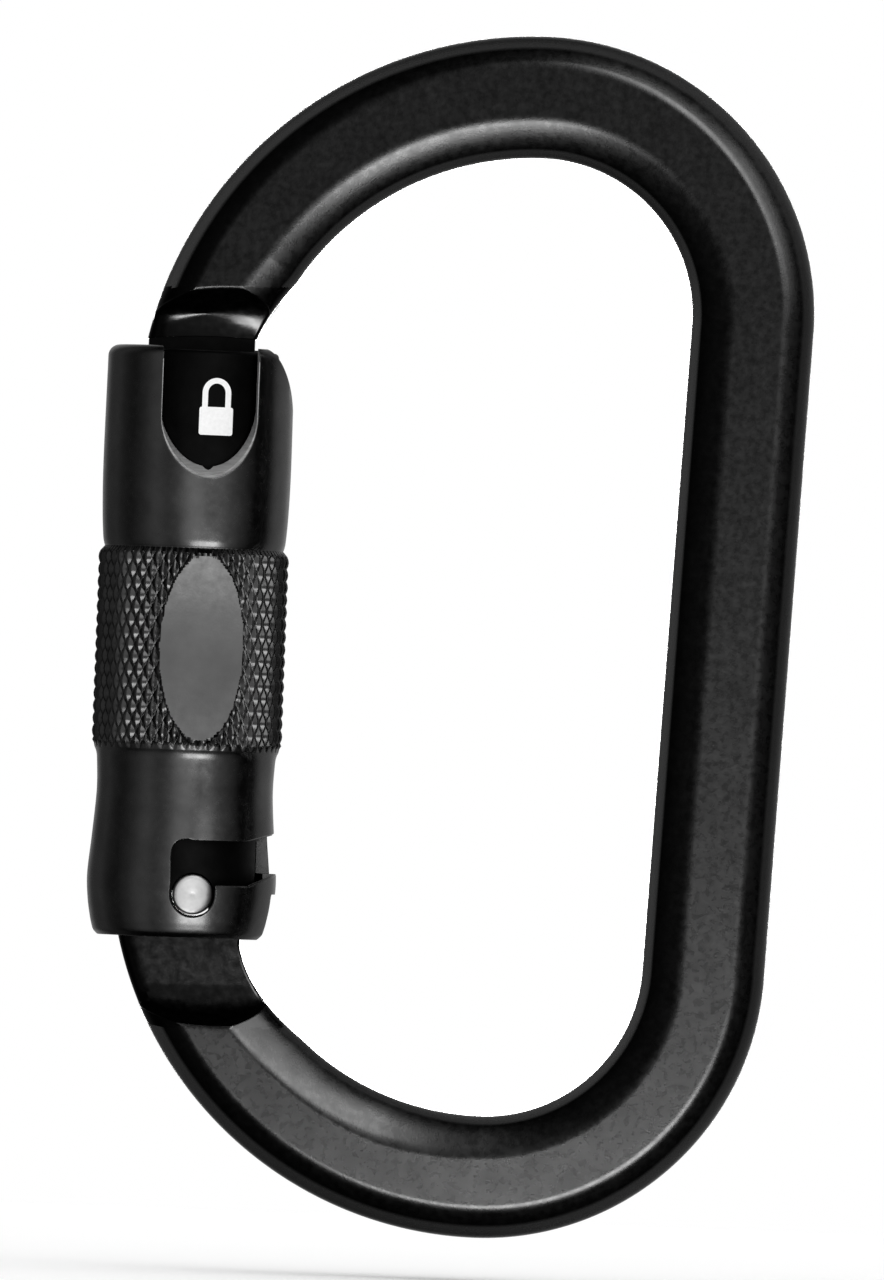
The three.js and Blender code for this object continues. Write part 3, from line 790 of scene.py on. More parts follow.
def frame_section(row):
    """One row's closed loop of points, front half then back half."""
    outer_point, inner_point, limit, share, step, drop, bow = row
    left = edge_points(OUTER_CURVE, limit, OUTER_CORNER[0] * share, OUTER_CORNER[1] * share)
    heel_share = 0.0
    if inner_point[1] < 0:
        heel_share = min(max((LOWER_BOW[0] - inner_point[0]) / HEEL_BLEND, 0.0), 1.0)
    inner_curve = INNER_CURVE + heel_share * (HEEL_CURVE - INNER_CURVE)
    right = edge_points(inner_curve, limit, INNER_CORNER[0] * share, INNER_CORNER[1] * share)
    places = place_on_row(outer_point, inner_point, left[:, 0], right[:, 0])
    flat = np.full(FLAT_STEPS - 1, min(limit, BAR_HALF))
    heights = np.concatenate([left[:, 1], flat, right[::-1, 1]])
    width = np.linalg.norm(inner_point - outer_point)
    across = 2 * np.linalg.norm(places - outer_point, axis=1) / width - 1
    if step:
        foot = step["foot"] + step["foot_growth"] * np.abs(across - step["foot_from"])
        raised = rounding(foot_drop(step) - drop, foot, step["slope"])
        heights = heights + raised * (heights > min(INNER_EDGE["side"], limit - 0.1))
        heights = heights * (1 - step["dome"] * share * across ** 2)
    if bow:
        places = bow_row(places, across, bow, outer_point, inner_point)
    front = [(x, -h, z) for (x, z), h in zip(places, heights)]
    back = [(x, h, z) for (x, z), h in zip(places, heights)]
    return front + back[-2:0:-1]


def build_frame():
    loops = [frame_section(row) for row in frame_rows()]
    count = len(loops[0])
    vertices = [p for loop in loops for p in loop]
    faces = []
    for r in range(len(loops) - 1):
        for k in range(count):
            n = (k + 1) % count
            faces.append((r * count + k, r * count + n, (r + 1) * count + n, (r + 1) * count + k))
    last = (len(loops) - 1) * count
    faces.append(tuple(range(count)))
    faces.append(tuple(range(last + count - 1, last - 1, -1)))
    bar = outward(make_object("frame", vertices, faces))

    nose = hinge_sector(40, TOP_SWEEP + NOSE_GAP, 20, -15, 15)
    slot = hinge_sector(48, KEY_NECK[1] + GAP, KEY_NECK[0] + GAP, KEY_LEFT - GAP, 15)
    pocket = hinge_sector(KEY_NECK[1] - GAP, KEY_HEAD[1] + GAP, KEY_HEAD[0] + GAP, KEY_LEFT - GAP, 15)
    cut(bar, nose, slot, pocket, pin_hole())
    paint_frame(bar)
    return shade(bar, 30)


def pin_hole():
    """A cutter for the hinge pin's hole, right through."""
    steps = 48
    last = 360 * (steps - 1) / steps
    return prism(arc(HINGE_X, 0, PIN_RADIUS + GAP / 2, 0, last, steps - 1), -20, 20)


MILLED_FINISH = 1  # place in the frame's list of materials


def paint_frame(bar):
    """Gives the thinned neck and tang the smoother finish of milled faces."""
    for face in bar.data.polygons:
        x, z = face.center.x, face.center.z
        thinned = abs(face.center.y) < BAR_HALF - 0.12
        near = {}
        for name, step in (("neck", NECK_STEP), ("tang", TANG_STEP)):
            lean = math.tan(math.radians(step["tilt"])) * (x - STEP_PIVOT_X)
            near[name] = z - step["edge"] - lean
        neck = z > GATE_TOP - 1 and (near["neck"] < 0 or near["neck"] < NECK_STEP["bow"] and thinned)
        tang = z < GATE_RADIUS and (near["tang"] > 0 or near["tang"] > -TANG_STEP["bow"] and thinned)
        if x < STEP_PIVOT_X + 8 and (neck or tang):
            face.material_index = MILLED_FINISH


def hinge_sector(inner, outer, half, from_x, to_x):
    """Part of a ring about the hinge pin, between two x positions above the hinge."""
    def run(radius):
        ends = [math.degrees(math.acos((x - HINGE_X) / radius)) for x in (from_x, to_x)]
        return arc(HINGE_X, 0, radius, ends[0], ends[1], 40)
    return prism(run(outer) + run(inner)[::-1], -half, half, "sector")


# ---- Gate, with its pin, plunger and springs ----

def build_gate():
    bottom, top = gate_low.z, GATE_TOP
    profile = [
        (0.0, bottom), (GATE_RADIUS, bottom), (GATE_RADIUS, SHANK[0]), (SHANK_RADIUS, SHANK[0]),
        (SHANK_RADIUS, SHANK[1]), (GATE_RADIUS, SHANK[1]), (GATE_RADIUS, top), (0.0, top),
    ]
    gate = lathe("gate", rounded(profile, 0.55), 192)
    right = NECK_RIGHT - GAP
    tenon = hinge_sector(46, TOP_SWEEP, NECK_HALF, TENON_LEFT, NECK_RIGHT - 0.1)
    key_neck = hinge_sector(50, KEY_NECK[1], KEY_NECK[0], KEY_LEFT, right)
    key_head = hinge_sector(KEY_NECK[1] - 0.02, KEY_HEAD[1], KEY_HEAD[0], KEY_LEFT, right)
    for part in (tenon, key_neck, key_head):
        combine(gate, part, "UNION")
    fork_top = TANG_RADIUS + GAP
    half = TANG_HALF + GAP
    fork = box((-20, -half, bottom - 2), (20, half, fork_top))
    bore = lathe("bore", [(0, fork_top - 1), (PIN_RADIUS + GAP, fork_top - 1),
                          (PIN_RADIUS + GAP, PLUNGER_BORE_TOP), (0, PLUNGER_BORE_TOP + 1)],
                 64, (HINGE_X, 0.0))
    cut(gate, fork, bore, pin_hole())
    return shade(gate, 30)


def build_pin():
    """A straight pin. Its ends are dressed to the gate's round, with a chamfered rim and a faint
    centre mark."""
    reach = GATE_RADIUS - 0.02
    segments = 96
    rim = PIN_RADIUS
    rings = [(0.1, 0.03), (0.2, 0.01), (0.3, 0.0), (0.7, 0.0), (1.1, 0.0), (1.4, 0.0),
             (rim - 0.2, 0.0), (rim - 0.12, 0.02), (rim - 0.05, 0.07), (rim, 0.15)]
    vertices = []
    for side, order in ((-1, rings), (1, rings[::-1])):
        for radius, sunk in order:
            for k in range(segments):
                a = 2 * math.pi * k / segments
                x = HINGE_X + radius * math.cos(a)
                vertices.append((x, side * (math.sqrt(reach ** 2 - x ** 2) - sunk),
                                 radius * math.sin(a)))
    faces = []
    for i in range(2 * len(rings) - 1):
        for k in range(segments):
            n = (k + 1) % segments
            base = i * segments
            faces.append((base + k, base + n, base + segments + n, base + segments + k))
    last = (2 * len(rings) - 1) * segments
    faces.append(tuple(range(segments)))
    faces.append(tuple(range(last + segments - 1, last - 1, -1)))
    return shade(outward(make_object("pin", vertices, faces)), 25)


def ring_profile(inner, low, high):
    """The section of a ring that fills a node's box, down to an inner radius."""
    outer = (high.x - low.x) / 2
    return [(inner, low.z), (outer, low.z), (outer, high.z), (inner, high.z)]


def build_plunger():
    profile = ring_profile(0, plunger_low, plunger_high)
    return shade(lathe("plunger", rounded(profile, 0.35), 64, (HINGE_X, 0.0)))


def build_spring(name, low, high, wire, turns, centre, steps=40, sides=14):
    """A coil between two heights, with a closed and ground turn at each end."""
    radius = (high.x - low.x) / 2 - wire
    bottom, rise = low.z + wire, high.z - low.z - 2 * wire
    end_rise = 2.15 * wire
    pitch = (rise - 2 * end_rise) / (turns - 2)
    count = turns * steps
    vertices, faces = [], []
    for i in range(count + 1):
        turn_at = i / steps
        height = end_rise + (turn_at - 1) * pitch
        if turn_at < 1:
            height = turn_at * end_rise
        if turn_at > turns - 1:
            height = rise - (turns - turn_at) * end_rise
        a = 2 * math.pi * turn_at
        for k in range(sides):
            b = 2 * math.pi * k / sides
            r = radius + wire * math.cos(b)
            z = bottom + height + wire * math.sin(b)
            vertices.append((centre + r * math.cos(a), r * math.sin(a), min(max(z, low.z), high.z)))
        if i:
            for k in range(sides):
                n = (k + 1) % sides
                base, before = i * sides, (i - 1) * sides
                faces.append((before + k, before + n, base + n, base + k))
    faces.append(tuple(range(sides)))
    faces.append(tuple(range(count * sides + sides - 1, count * sides - 1, -1)))
    return shade(outward(make_object(name, vertices, faces)), 50)


def build_padlock_mark():
    """A plain closed-padlock sign, printed on the gate where the window shows it."""
    centre_x, base = 1.62, 42.45
    width, height, corner = 3.1, 2.6, 0.22
    shackle_outer, shackle_inner, shackle_rise = 1.32, 0.8, 1.35
    surface = GATE_RADIUS
    body = []
    for x, z, start in ((1, 1, 0), (-1, 1, 90), (-1, -1, 180), (1, -1, 270)):
        body += arc(centre_x + x * (width / 2 - corner), base + height / 2 + z * (height / 2 - corner),
                    corner, start, start + 90, 4)
    top = base + height
    outer = arc(centre_x, top + shackle_rise - 0.05, shackle_outer, 0, 180, 24, shackle_outer * 1.05)
    inner = arc(centre_x, top + shackle_rise - 0.05, shackle_inner, 180, 0, 24, shackle_inner * 1.1)
    arch = [(centre_x + shackle_outer, top - 0.1)] + outer + [(centre_x - shackle_outer, top - 0.1)]
    arch += [(centre_x - shackle_inner, top - 0.1)] + inner + [(centre_x + shackle_inner, top - 0.1)]
    mark = prism(body, -surface - 2, -surface + 2, "mark")
    combine(mark, prism(arch, -surface - 2, -surface + 2), "UNION")
    shell = lathe("shell", [(surface - 0.05, base - 3), (surface + 0.025, base - 3),
                            (surface + 0.025, base + 9), (surface - 0.05, base + 9)], 360)
    return shade(combine(mark, shell, "INTERSECT"), 40)


# ---- Locking sleeve ----

def spline(points, steps):
    """A smooth curve through (radius, z) points."""
    p = np.array(points, float)
    p = np.vstack([2 * p[0] - p[1], p, 2 * p[-1] - p[-2]])
    curve = []
    for i in range(1, len(p) - 2):
        for t in np.linspace(0, 1, steps, endpoint=False):
            a, b, c, d = p[i - 1], p[i], p[i + 1], p[i + 2]
            curve.append(tuple(0.5 * (2 * b + (c - a) * t + (2 * a - 5 * b + 4 * c - d) * t * t
                                      + (3 * b - a - 3 * c + d) * t ** 3)))
    return curve + [tuple(p[-2])]


WAIST = [(7.72, -3.9), (8.02, -3.55), (8.2, -3.0), (8.36, -2.3), (8.62, -0.7), (8.75, 1.6),
         (8.45, 5.2), (8.16, 9.3),
         (8.24, 12.1), (8.34, 12.9), (8.52, 13.35)]
HEAD = [(8.26, 31.98), (8.36, 32.3), (8.47, 33.0), (8.62, 35.5), (8.7, 40.0),
        (8.62, SLEEVE_TOP - RIM_ROUND)]


def knurled_radius(z):
    """The band's radius at each column: crossed helical grooves leave small pyramids."""
    u = np.arange(COLUMNS) * KNURL_STARTS / COLUMNS
    v = (z - KNURL[0]) / KNURL_PITCH
    a, b = (u + v) % 1, (u - v) % 1
    height = (1 - (2 * a - 1) ** 2) * (1 - (2 * b - 1) ** 2)
    from_end = min(z - KNURL[0], KNURL[1] - z)
    chamfer = KNURL_RADIUS - max(0.0, 0.22 - from_end)
    angles = 2 * np.pi * np.arange(COLUMNS) / COLUMNS
    towards_dish = np.abs(np.sin(angles - FEATURE_TURN)) * KNURL_RADIUS
    room = np.clip((dish_surface(z) - towards_dish) / KNURL_FADE, 0.0, 1.0)
    return np.minimum(KNURL_RADIUS - KNURL_DEPTH * (1 - height) * room, chamfer)


def dish_surface(z):
    """How far from the sleeve's axis a dish's surface is, at a height."""
    return DISH_AXIS - math.sqrt(DISH_RADIUS ** 2 - (z - DISH_MIDDLE) ** 2)


def build_sleeve_blank():
    """The turned and knurled tube, before anything is milled into it."""
    plain = [(BORE, SLEEVE_BOTTOM), (BORE + 0.08, SLEEVE_BOTTOM)]
    rows = [(z, np.full(COLUMNS, r)) for r, z in plain + spline(WAIST, 6)]
    step = KNURL_PITCH / 8
    first = len(rows)
    rows += [(z, knurled_radius(z)) for z in np.arange(KNURL[0], KNURL[1] + 0.5 * step, step)
             if z <= KNURL[1]]
    last = len(rows)
    clip_room = (clip_low.z - GAP, clip_high.z + GAP)
    rim = arc(HEAD[-1][0] - RIM_ROUND, HEAD[-1][1], RIM_ROUND, 0, 90, 12)
    inside = rim[1:] + [(BORE, SLEEVE_TOP - 0.05), (BORE, clip_room[1]), (CLIP_GROOVE, clip_room[1]),
                        (CLIP_GROOVE, clip_room[0]), (BORE, clip_room[0])]
    rows += [(z, np.full(COLUMNS, r)) for r, z in spline(HEAD, 5) + inside]

    angles = 2 * np.pi * np.arange(COLUMNS) / COLUMNS
    vertices = []
    for z, radii in rows:
        vertices += list(zip(radii * np.cos(angles), radii * np.sin(angles), np.full(COLUMNS, z)))
    faces = []
    for i in range(len(rows)):
        j = (i + 1) % len(rows)
        knurled = first <= i and j < last and j > i
        for k in range(COLUMNS):
            n = (k + 1) % COLUMNS
            a, b, c, d = i * COLUMNS + k, i * COLUMNS + n, j * COLUMNS + n, j * COLUMNS + k
            if not knurled:
                faces.append((a, b, c, d))
            elif rows[i][1][k] + rows[j][1][n] < rows[i][1][n] + rows[j][1][k]:
                faces += [(a, b, c), (a, c, d)]  # the edge follows the groove
            else:
                faces += [(a, b, d), (b, c, d)]
    return outward(make_object("sleeve", vertices, faces))


def outside_radius(z):
    profile = np.array(spline(WAIST, 6) + [(KNURL_RADIUS, KNURL[0]), (KNURL_RADIUS, KNURL[1])]
                       + spline(HEAD, 5))
    return float(np.interp(z, profile[:, 1], profile[:, 0]))


def window_outline():
    half = WINDOW_WIDTH / 2
    return ([(half, SLEEVE_TOP + 6)] + [(-half, SLEEVE_TOP + 6)]
            + arc(0, WINDOW_BOTTOM + half, half, 180, 360, 48))


def rake(obj):
    """Leans a cutter so that its lower edge rises on its way in."""
    slope = math.tan(WINDOW_RAKE)
    outside = HEAD[-1][0]
    for vertex in obj.data.vertices:
        vertex.co.z += slope * (vertex.co.y + outside)
    return obj


def window_cutter():
    return turn(rake(prism(window_outline(), -11, -1, "window")), FEATURE_TURN)


def window_edge():
    """The window's outline where it meets the sleeve's outside."""
    slope = math.tan(WINDOW_RAKE)
    outside = HEAD[-1][0]
    half = WINDOW_WIDTH / 2
    outline = [(-half, z) for z in np.linspace(SLEEVE_TOP + 1, WINDOW_BOTTOM + half, 30)]
    outline += arc(0, WINDOW_BOTTOM + half, half, 180, 360, 72)[1:-1]
    outline += [(-x, z) for x, z in outline[29::-1]]
    points = []
    for x, z in outline:
        y = -math.sqrt(outside ** 2 - x ** 2)
        points.append((x, y, z + slope * (y + outside)))
    return [Matrix.Rotation(FEATURE_TURN, 3, "Z") @ Vector(p) for p in points]


def edge_cutter(points, sizes, closed=False):
    """Follows an edge on the sleeve's outside and chamfers it. The section is a small square
    standing on its corner."""
    count = len(points)
    vertices, faces = [], []
    for i, (p, size) in enumerate(zip(points, sizes)):
        ahead = points[(i + 1) % count] if closed else points[min(i + 1, count - 1)]
        behind = points[i - 1] if closed else points[max(i - 1, 0)]
        tangent = (ahead - behind).normalized()
        normal = Vector((p.x, p.y, 0)).normalized()
        across = tangent.cross(normal).normalized()
        vertices += [p + normal * size, p + across * size, p - normal * size, p - across * size]
    for i in range(count if closed else count - 1):
        j = (i + 1) % count
        faces += [(4 * i + k, 4 * i + (k + 1) % 4, 4 * j + (k + 1) % 4, 4 * j + k) for k in range(4)]
    if not closed:
        faces += [(0, 1, 2, 3), tuple(4 * (count - 1) + k for k in (3, 2, 1, 0))]
    return outward(make_object("edge", vertices, faces))


def slot_cutter():
    half = SLOT_WIDTH / 2
    top, bottom = SLOT_LIFT + half, SLOT_LIFT - half
    corner = SLOT_CORNER
    far = 20.0
    run = (far - CLIMB["start"]) / (CLIMB["end"] - CLIMB["start"])
    outline = arc(HINGE_X, 0, half, 180, 360, 40)
    outline += [(HINGE_X + half, bottom), (CLIMB["start"], bottom), (far, bottom + run * CLIMB["bottom"]),
                (far, top + run * CLIMB["top"]), (CLIMB["start"], top)]
    outline += quadratic((HINGE_X - half + corner, top), (HINGE_X - half, top),
                         (HINGE_X - half, top - corner), 12)
    cutter = prism(outline, -20, -0.5, "slot")
    side = box((HINGE_X + half, -1, bottom + CLIMB["bottom"]), (far, SLOT_SIDE_END, top + CLIMB["top"]))
    return combine(cutter, side, "UNION")


def slot_edge():
    """The slot's outline on the sleeve's outside."""
    half = SLOT_WIDTH / 2
    top, bottom = SLOT_LIFT + half, SLOT_LIFT - half
    corner = SLOT_CORNER
    points = []

    def add(x, z):
        points.append(Vector((x, -math.sqrt(outside_radius(z) ** 2 - x ** 2), z)))

    def add_turn(angle, level, climb):
        share = (math.sin(angle) * 8.4 - CLIMB["start"]) / (CLIMB["end"] - CLIMB["start"])
        if angle > math.pi / 2:
            share = 1.0
        z = level + climb * min(max(share, 0.0), 1.0)
        radius = outside_radius(z)
        points.append(Vector((radius * math.sin(angle), -radius * math.cos(angle), z)))

    def end_angle(z):
        return math.pi - math.acos(min(1, SLOT_SIDE_END / outside_radius(z)))

    near = math.radians(40)
    high, low = top + CLIMB["top"], bottom + CLIMB["bottom"]
    for a in np.linspace(end_angle(high), near, 30):
        add_turn(a, top, CLIMB["top"])
    for x, z in quadratic((HINGE_X - half + corner, top), (HINGE_X - half, top),
                          (HINGE_X - half, top - corner), 8):
        add(x, z)
    for x, z in arc(HINGE_X, 0, half, 180, 360, 36)[:-1]:
        add(x, z)
    add(HINGE_X + half, bottom * 0.5)
    add(HINGE_X + half, bottom)
    for a in np.linspace(near, end_angle(low), 30):
        add_turn(a, bottom, CLIMB["bottom"])
    for z in np.linspace(low, high, 6)[1:-1]:
        a = end_angle(z)
        points.append(Vector((outside_radius(z) * math.sin(a), -outside_radius(z) * math.cos(a), z)))
    return points


def notch_cutter(angle):
    outline = arc(-NOTCH_HALF + 0.25, NOTCH_TOP - 0.25, 0.25, 180, 90, 4)
    outline += arc(NOTCH_HALF - 0.25, NOTCH_TOP - 0.25, 0.25, 90, 0, 4)
    outline += [(NOTCH_HALF, SLEEVE_BOTTOM - 2), (-NOTCH_HALF, SLEEVE_BOTTOM - 2)]
    return turn(prism(outline, -20, -1, "notch"), angle)


def dish_cutter(angle):
    """A cutter that is hollow along the sleeve and flat across it."""
    outline = [(DISH_AXIS - math.sqrt(DISH_RADIUS ** 2 - h ** 2), DISH_MIDDLE + h)
               for h in np.linspace(-DISH_REACH, DISH_REACH, 120)]
    outline += [(14, DISH_MIDDLE + DISH_REACH), (14, DISH_MIDDLE - DISH_REACH)]
    return turn(prism(outline, -9, 9, "dish"), angle - math.pi / 2)


def rim_cutter():
    """Rounds the rim away on the rope side."""
    x, z, width, height = 5.6, 44.0, 3.1, 6.7
    outline = arc(x, z, width, 0, 90, 40, height)
    outline += [(x, SLEEVE_TOP + 2), (20, SLEEVE_TOP + 2), (20, z)]
    return prism(outline, -20, 20, "rim")


def thumb_notch():
    """A small pointed nick in the middle of the window's raked lower edge."""
    outline = [(-1.0, 40.6), (-0.9, 40.2), (-0.55, 39.6), (-0.25, 39.3), (0.0, 39.2), (0.25, 39.3),
               (0.55, 39.6), (0.9, 40.2), (1.0, 40.6)]
    return turn(prism(outline, -8.55, -7.0, "nick"), FEATURE_TURN)


DISH_FINISH, CUT_FINISH, KNURL_FINISH = 1, 2, 3  # places in the sleeve's list of materials


def paint_sleeve(sleeve):
    """Gives the dishes and the window's cut faces their own finishes."""
    facing = (math.sin(FEATURE_TURN), -math.cos(FEATURE_TURN))
    for face in sleeve.data.polygons:
        c, n = face.center, face.normal
        radius = math.hypot(c.x, c.y)
        outward_share = (c.x * n.x + c.y * n.y) / radius
        depth = c.x * facing[0] + c.y * facing[1]
        if KNURL[0] < c.z < KNURL[1] and radius > BORE + 0.1:
            in_dish = abs(abs(depth) - dish_surface(c.z)) < 0.03
            face.material_index = DISH_FINISH if in_dish else KNURL_FINISH
        elif WINDOW_BOTTOM - 0.5 < c.z and depth > 5:
            below_rim = c.z < HEAD[-1][1] and outward_share < 0.93
            side_of_window = max(abs(outward_share), abs(n.z)) < 0.3
            inside_wall = BORE + 0.03 < radius < outside_radius(c.z) - 0.02
            if inside_wall and (below_rim or side_of_window):
                face.material_index = CUT_FINISH


def build_sleeve():
    sleeve = build_sleeve_blank()
    cut(sleeve, dish_cutter(FEATURE_TURN), dish_cutter(FEATURE_TURN + math.pi))
    cut(sleeve, slot_cutter(), notch_cutter(math.pi / 2), notch_cutter(math.pi), rim_cutter())
    slot_rim = slot_edge()
    cut(sleeve, edge_cutter(slot_rim, [0.13] * len(slot_rim), True))
    window_rim = window_edge()
    wide = [0.08 + 0.19 * max(0.0, 1 - (p.z - WINDOW_BOTTOM) / 4.5) for p in window_rim]
    cut(sleeve, window_cutter(), edge_cutter(window_rim, wide), thumb_notch())
    paint_sleeve(sleeve)
    shade(sleeve, 24)
    return smooth_dishes(sleeve)


def smooth_dishes(sleeve):
    """Gives the dishes the normals of their true round, whatever way their faces are split."""
    front = Vector((math.sin(FEATURE_TURN), -math.cos(FEATURE_TURN), 0))
    mesh = sleeve.data
    normals = [Vector((0, 0, 0))] * len(mesh.loops)
    for face in mesh.polygons:
        if face.material_index != DISH_FINISH:
            continue
        facing = front if face.center.dot(front) > 0 else -front
        for loop in face.loop_indices:
            p = mesh.vertices[mesh.loops[loop].vertex_index].co
            along = Vector((0, 0, DISH_MIDDLE - p.z))
            normals[loop] = (facing * (DISH_AXIS - p.dot(facing)) + along).normalized()
    mesh.normals_split_custom_set(normals)
    return sleeve


def build_clip():
    """A split ring, open at the back."""
    ring = lathe("clip", rounded(ring_profile(6.0, clip_low, clip_high), 0.2), 160)
    cut(ring, box((-1.5, 3, clip_low.z - 1), (1.5, 10, clip_high.z + 1)))
    return shade(ring)


def build_washer():
    return shade(lathe("washer", rounded(ring_profile(5.6, washer_low, washer_high), 0.15), 160))


# ---- The pieces on their bodies ----

frame_piece = finish_piece(build_frame(), "frame_body", "frame",
                           [frame_black, milled_black], ["frame"])
gate_piece = finish_piece(build_gate(), "gate_body", "gate", gate_black, ["gate"])
pin_piece = finish_piece(build_pin(), "hinge_pin_body", "gate", pin_steel, ["hinge_pin"])
finish_piece(build_padlock_mark(), "padlock_mark", "gate", white_print)
finish_piece(build_plunger(), "plunger_body", "plunger", pin_steel, ["gate_plunger"])
sleeve_piece = finish_piece(build_sleeve(), "sleeve_body", "sleeve",
                            [sleeve_black, dish_black, cut_aluminium, knurl_black],
                            ["locking_sleeve"])
finish_piece(build_clip(), "retaining_ring_body", "sleeve", ring_steel,
             ["retaining_ring"])
finish_piece(build_washer(), "thrust_washer_body", "slider", ring_steel,
             ["thrust_washer"])

gate_coil = finish_piece(
    build_spring("gate_coil", gate_spring_low, gate_spring_high, 0.3, 13, HINGE_X, 28, 12),
    "gate_spring_coil", "gate", spring_steel, ["gate_spring"])
sleeve_coil = finish_piece(
    build_spring("sleeve_coil", sleeve_spring_low, sleeve_spring_high, 0.5, 8, 0.0, 72, 16),
    "sleeve_spring_coil", "gate", spring_steel, ["sleeve_spring"])


def shorten(coil):
    """Gives a coil its own copy of its mesh."""
    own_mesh(coil)


shorten(gate_coil)
shorten(sleeve_coil)


# ---- Camera, light and floor ----

def build_world():
    """White for the camera and for matt surfaces; shiny surfaces see a dark studio with grey
    sides, so that black metal keeps its contrast."""
    world = bpy.data.worlds.new("studio")
    bpy.context.scene.world = world
    world.use_nodes = True
    world.cycles.sampling_method = "NONE"
    world.node_tree.nodes.clear()
    g = Graph(world.node_tree)

    split = g.node("ShaderNodeSeparateXYZ")
    g.link(g.node("ShaderNodeTexCoord").outputs["Generated"], split.inputs[0])
    ahead = g.math("MULTIPLY", split.outputs["Y"], -1.0)
    bearing = g.math("ARCTAN2", split.outputs["X"], ahead)
    bearing = g.math("ADD", g.math("DIVIDE", bearing, 2 * math.pi), 0.5)
    height = g.math("ADD", g.math("MULTIPLY", split.outputs["Z"], 0.5), 0.5)
    around = g.ramp(bearing, *[(a / 360 + 0.5, v) for a, v in STUDIO_ROUND], interpolation="EASE")
    upwards = g.ramp(height, *[(z / 2 + 0.5, v) for z, v in STUDIO_HEIGHT], interpolation="EASE")
    studio = g.mix(1.0, around, upwards, "MULTIPLY")

    path = g.node("ShaderNodeLightPath")
    colour = g.mix(path.outputs["Is Glossy Ray"], FLOOR_LIGHT, studio)
    colour = g.mix(path.outputs["Is Camera Ray"], colour, 1.0)
    background = g.node("ShaderNodeBackground")
    g.link(colour, background.inputs["Color"])
    output = g.node("ShaderNodeOutputWorld")
    g.link(background.outputs["Background"], output.inputs["Surface"])


# What shiny surfaces see: brightness by bearing (0 is the camera's side, right positive), and
# a share of it by height (the direction's z).
STUDIO_ROUND = (
    (-180, 0.5), (-160, 0.3), (-142, 0.1), (-127, 0.13), (-117, 0.18), (-104, 0.09), (-88, 0.05),
    (-74, 0.12), (-48, 0.36), (-34, 0.2), (-22, 0.3), (-6, 0.95), (7, 1.0), (14, 0.5), (30, 0.5),
    (50, 0.26), (66, 0.12), (77, 0.0), (100, 0.0), (104, 0.1), (110, 0.3), (120, 0.38),
    (142, 0.34), (160, 0.45), (180, 0.5),
)
STUDIO_HEIGHT = ((-1.0, 0.02), (-0.86, 0.04), (-0.7, 0.5), (-0.3, 1.0), (0.6, 1.0), (0.78, 0.7),
                 (0.9, 0.05), (1.0, 0.02))
FLOOR_LIGHT = 1.06


def direction(bearing, elevation):
    """A unit direction. Bearing is in degrees to the right of straight in front."""
    bearing, elevation = math.radians(bearing), math.radians(elevation)
    return Vector((math.sin(bearing) * math.cos(elevation),
                   -math.cos(bearing) * math.cos(elevation), math.sin(elevation)))


def add_light(name, bearing, elevation, distance, size, brightness, lit):
    """A soft box that faces the object and lights some of its pieces. Its brightness is that of
    its face, whatever its size."""
    data = bpy.data.lights.new(name, "AREA")
    data.shape = "RECTANGLE"
    data.size, data.size_y = size
    data.energy = brightness * math.pi * size[0] * size[1]
    light = bpy.data.objects.new(name, data)
    bpy.context.scene.collection.objects.link(light)
    towards = direction(bearing, elevation)
    light.location = towards * distance
    light.rotation_mode = "QUATERNION"
    light.rotation_quaternion = (-towards).to_track_quat("-Z", "Y")
    light.visible_camera = False
    receivers = bpy.data.collections.new("lit_by_" + name)
    for piece in lit:
        receivers.objects.link(piece)
    light.light_linking.receiver_collection = receivers


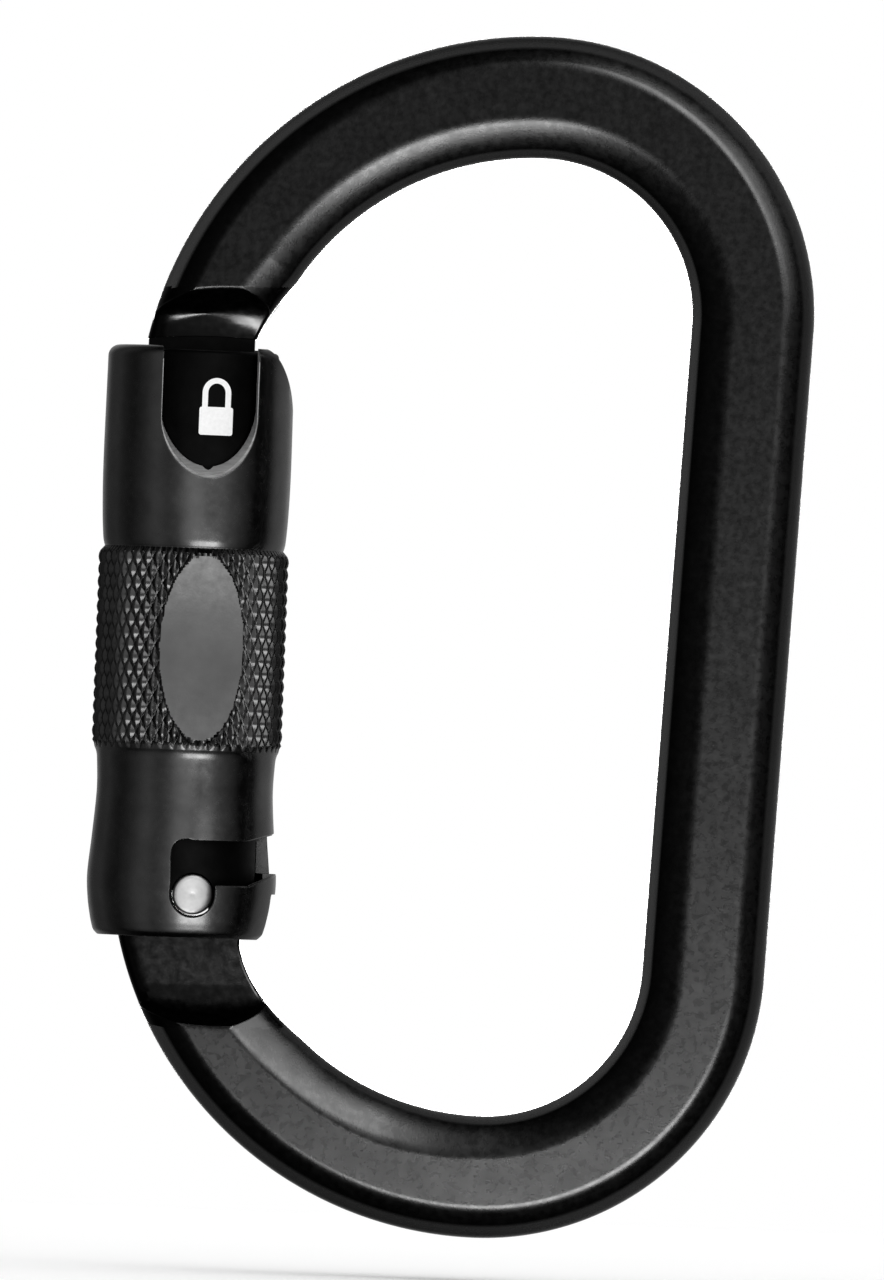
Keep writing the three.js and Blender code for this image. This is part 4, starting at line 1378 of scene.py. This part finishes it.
# Soft boxes: name, bearing and elevation in degrees, distance, width and height, brightness. The
# black bar needs strong ones: one low in front and one high to the right, one softer beside
# it, and one behind for the back.
BAR_BOXES = (
    ("bar_low", 11, -25, 0.28, (0.155, 0.085), 130.0),
    ("bar_high", 26, 33, 0.82, (0.26, 0.67), 60.0),
    ("bar_side", 50, 26, 0.575, (0.24, 0.34), 26.0),
    ("bar_back", 179, 5, 1.2, (0.45, 0.45), 14.0),
)
SLEEVE_BOXES = (
    ("sleeve_low", 11, -25, 0.28, (0.155, 0.085), 7.0),
    ("sleeve_high", 26, 30, 0.89, (0.35, 0.62), 2.6),
)


def build_floor():
    size = 0.35
    drop = 0.004
    level = cad_low.z - drop
    vertices = [(-size, -size, level), (size, -size, level), (size, size, level), (-size, size, level)]
    floor = make_object("floor", vertices, [(0, 1, 2, 3)])
    g = Surface("pale_floor")
    g.set("Base Color", g.ramp(g.noise(6, 3), (0.3, 0.985), (0.7, 1.0)))
    g.set("Roughness", 0.9)
    g.set("Specular IOR Level", 0.1)
    floor.data.materials.append(g.material)
    # The low lights shine up past the floor's edge, so it doesn't stand in their way.
    floor.visible_glossy = False
    floor.visible_shadow = False


def build_stage():
    scene = bpy.context.scene
    scene.view_settings.view_transform = "Standard"
    build_world()
    build_floor()
    for soft_box in BAR_BOXES:
        add_light(*soft_box, [frame_piece])
    for soft_box in SLEEVE_BOXES:
        add_light(*soft_box, [sleeve_piece, pin_piece, gate_piece, sleeve_coil, gate_coil])
    camera_data = bpy.data.cameras.new("camera")
    camera = bpy.data.objects.new("camera", camera_data)
    scene.collection.objects.link(camera)
    scene.camera = camera
    return camera


VIEW_HEIGHT = 0.1185
VIEW_DISTANCE = 2.5
VIEW_ROLL = math.atan(0.0384)
VIEW_DROP = math.radians(0.3)
VIEW_TARGET = Vector((-0.0006, 0.0, -0.0005))


def aim_camera(camera):
    up = Vector((-math.sin(VIEW_ROLL), 0, math.cos(VIEW_ROLL)))
    back = Vector((0, -math.cos(VIEW_DROP), 0)) - up * math.sin(VIEW_DROP)
    side = up.cross(back).normalized()
    true_up = back.cross(side).normalized()
    rotation = Matrix((side, true_up, back)).transposed()
    camera.matrix_world = Matrix.Translation(VIEW_TARGET + back * VIEW_DISTANCE) @ rotation.to_4x4()
    camera.data.sensor_width = 36
    camera.data.lens = 36 * VIEW_DISTANCE / VIEW_HEIGHT


camera = build_stage()
aim_camera(camera)
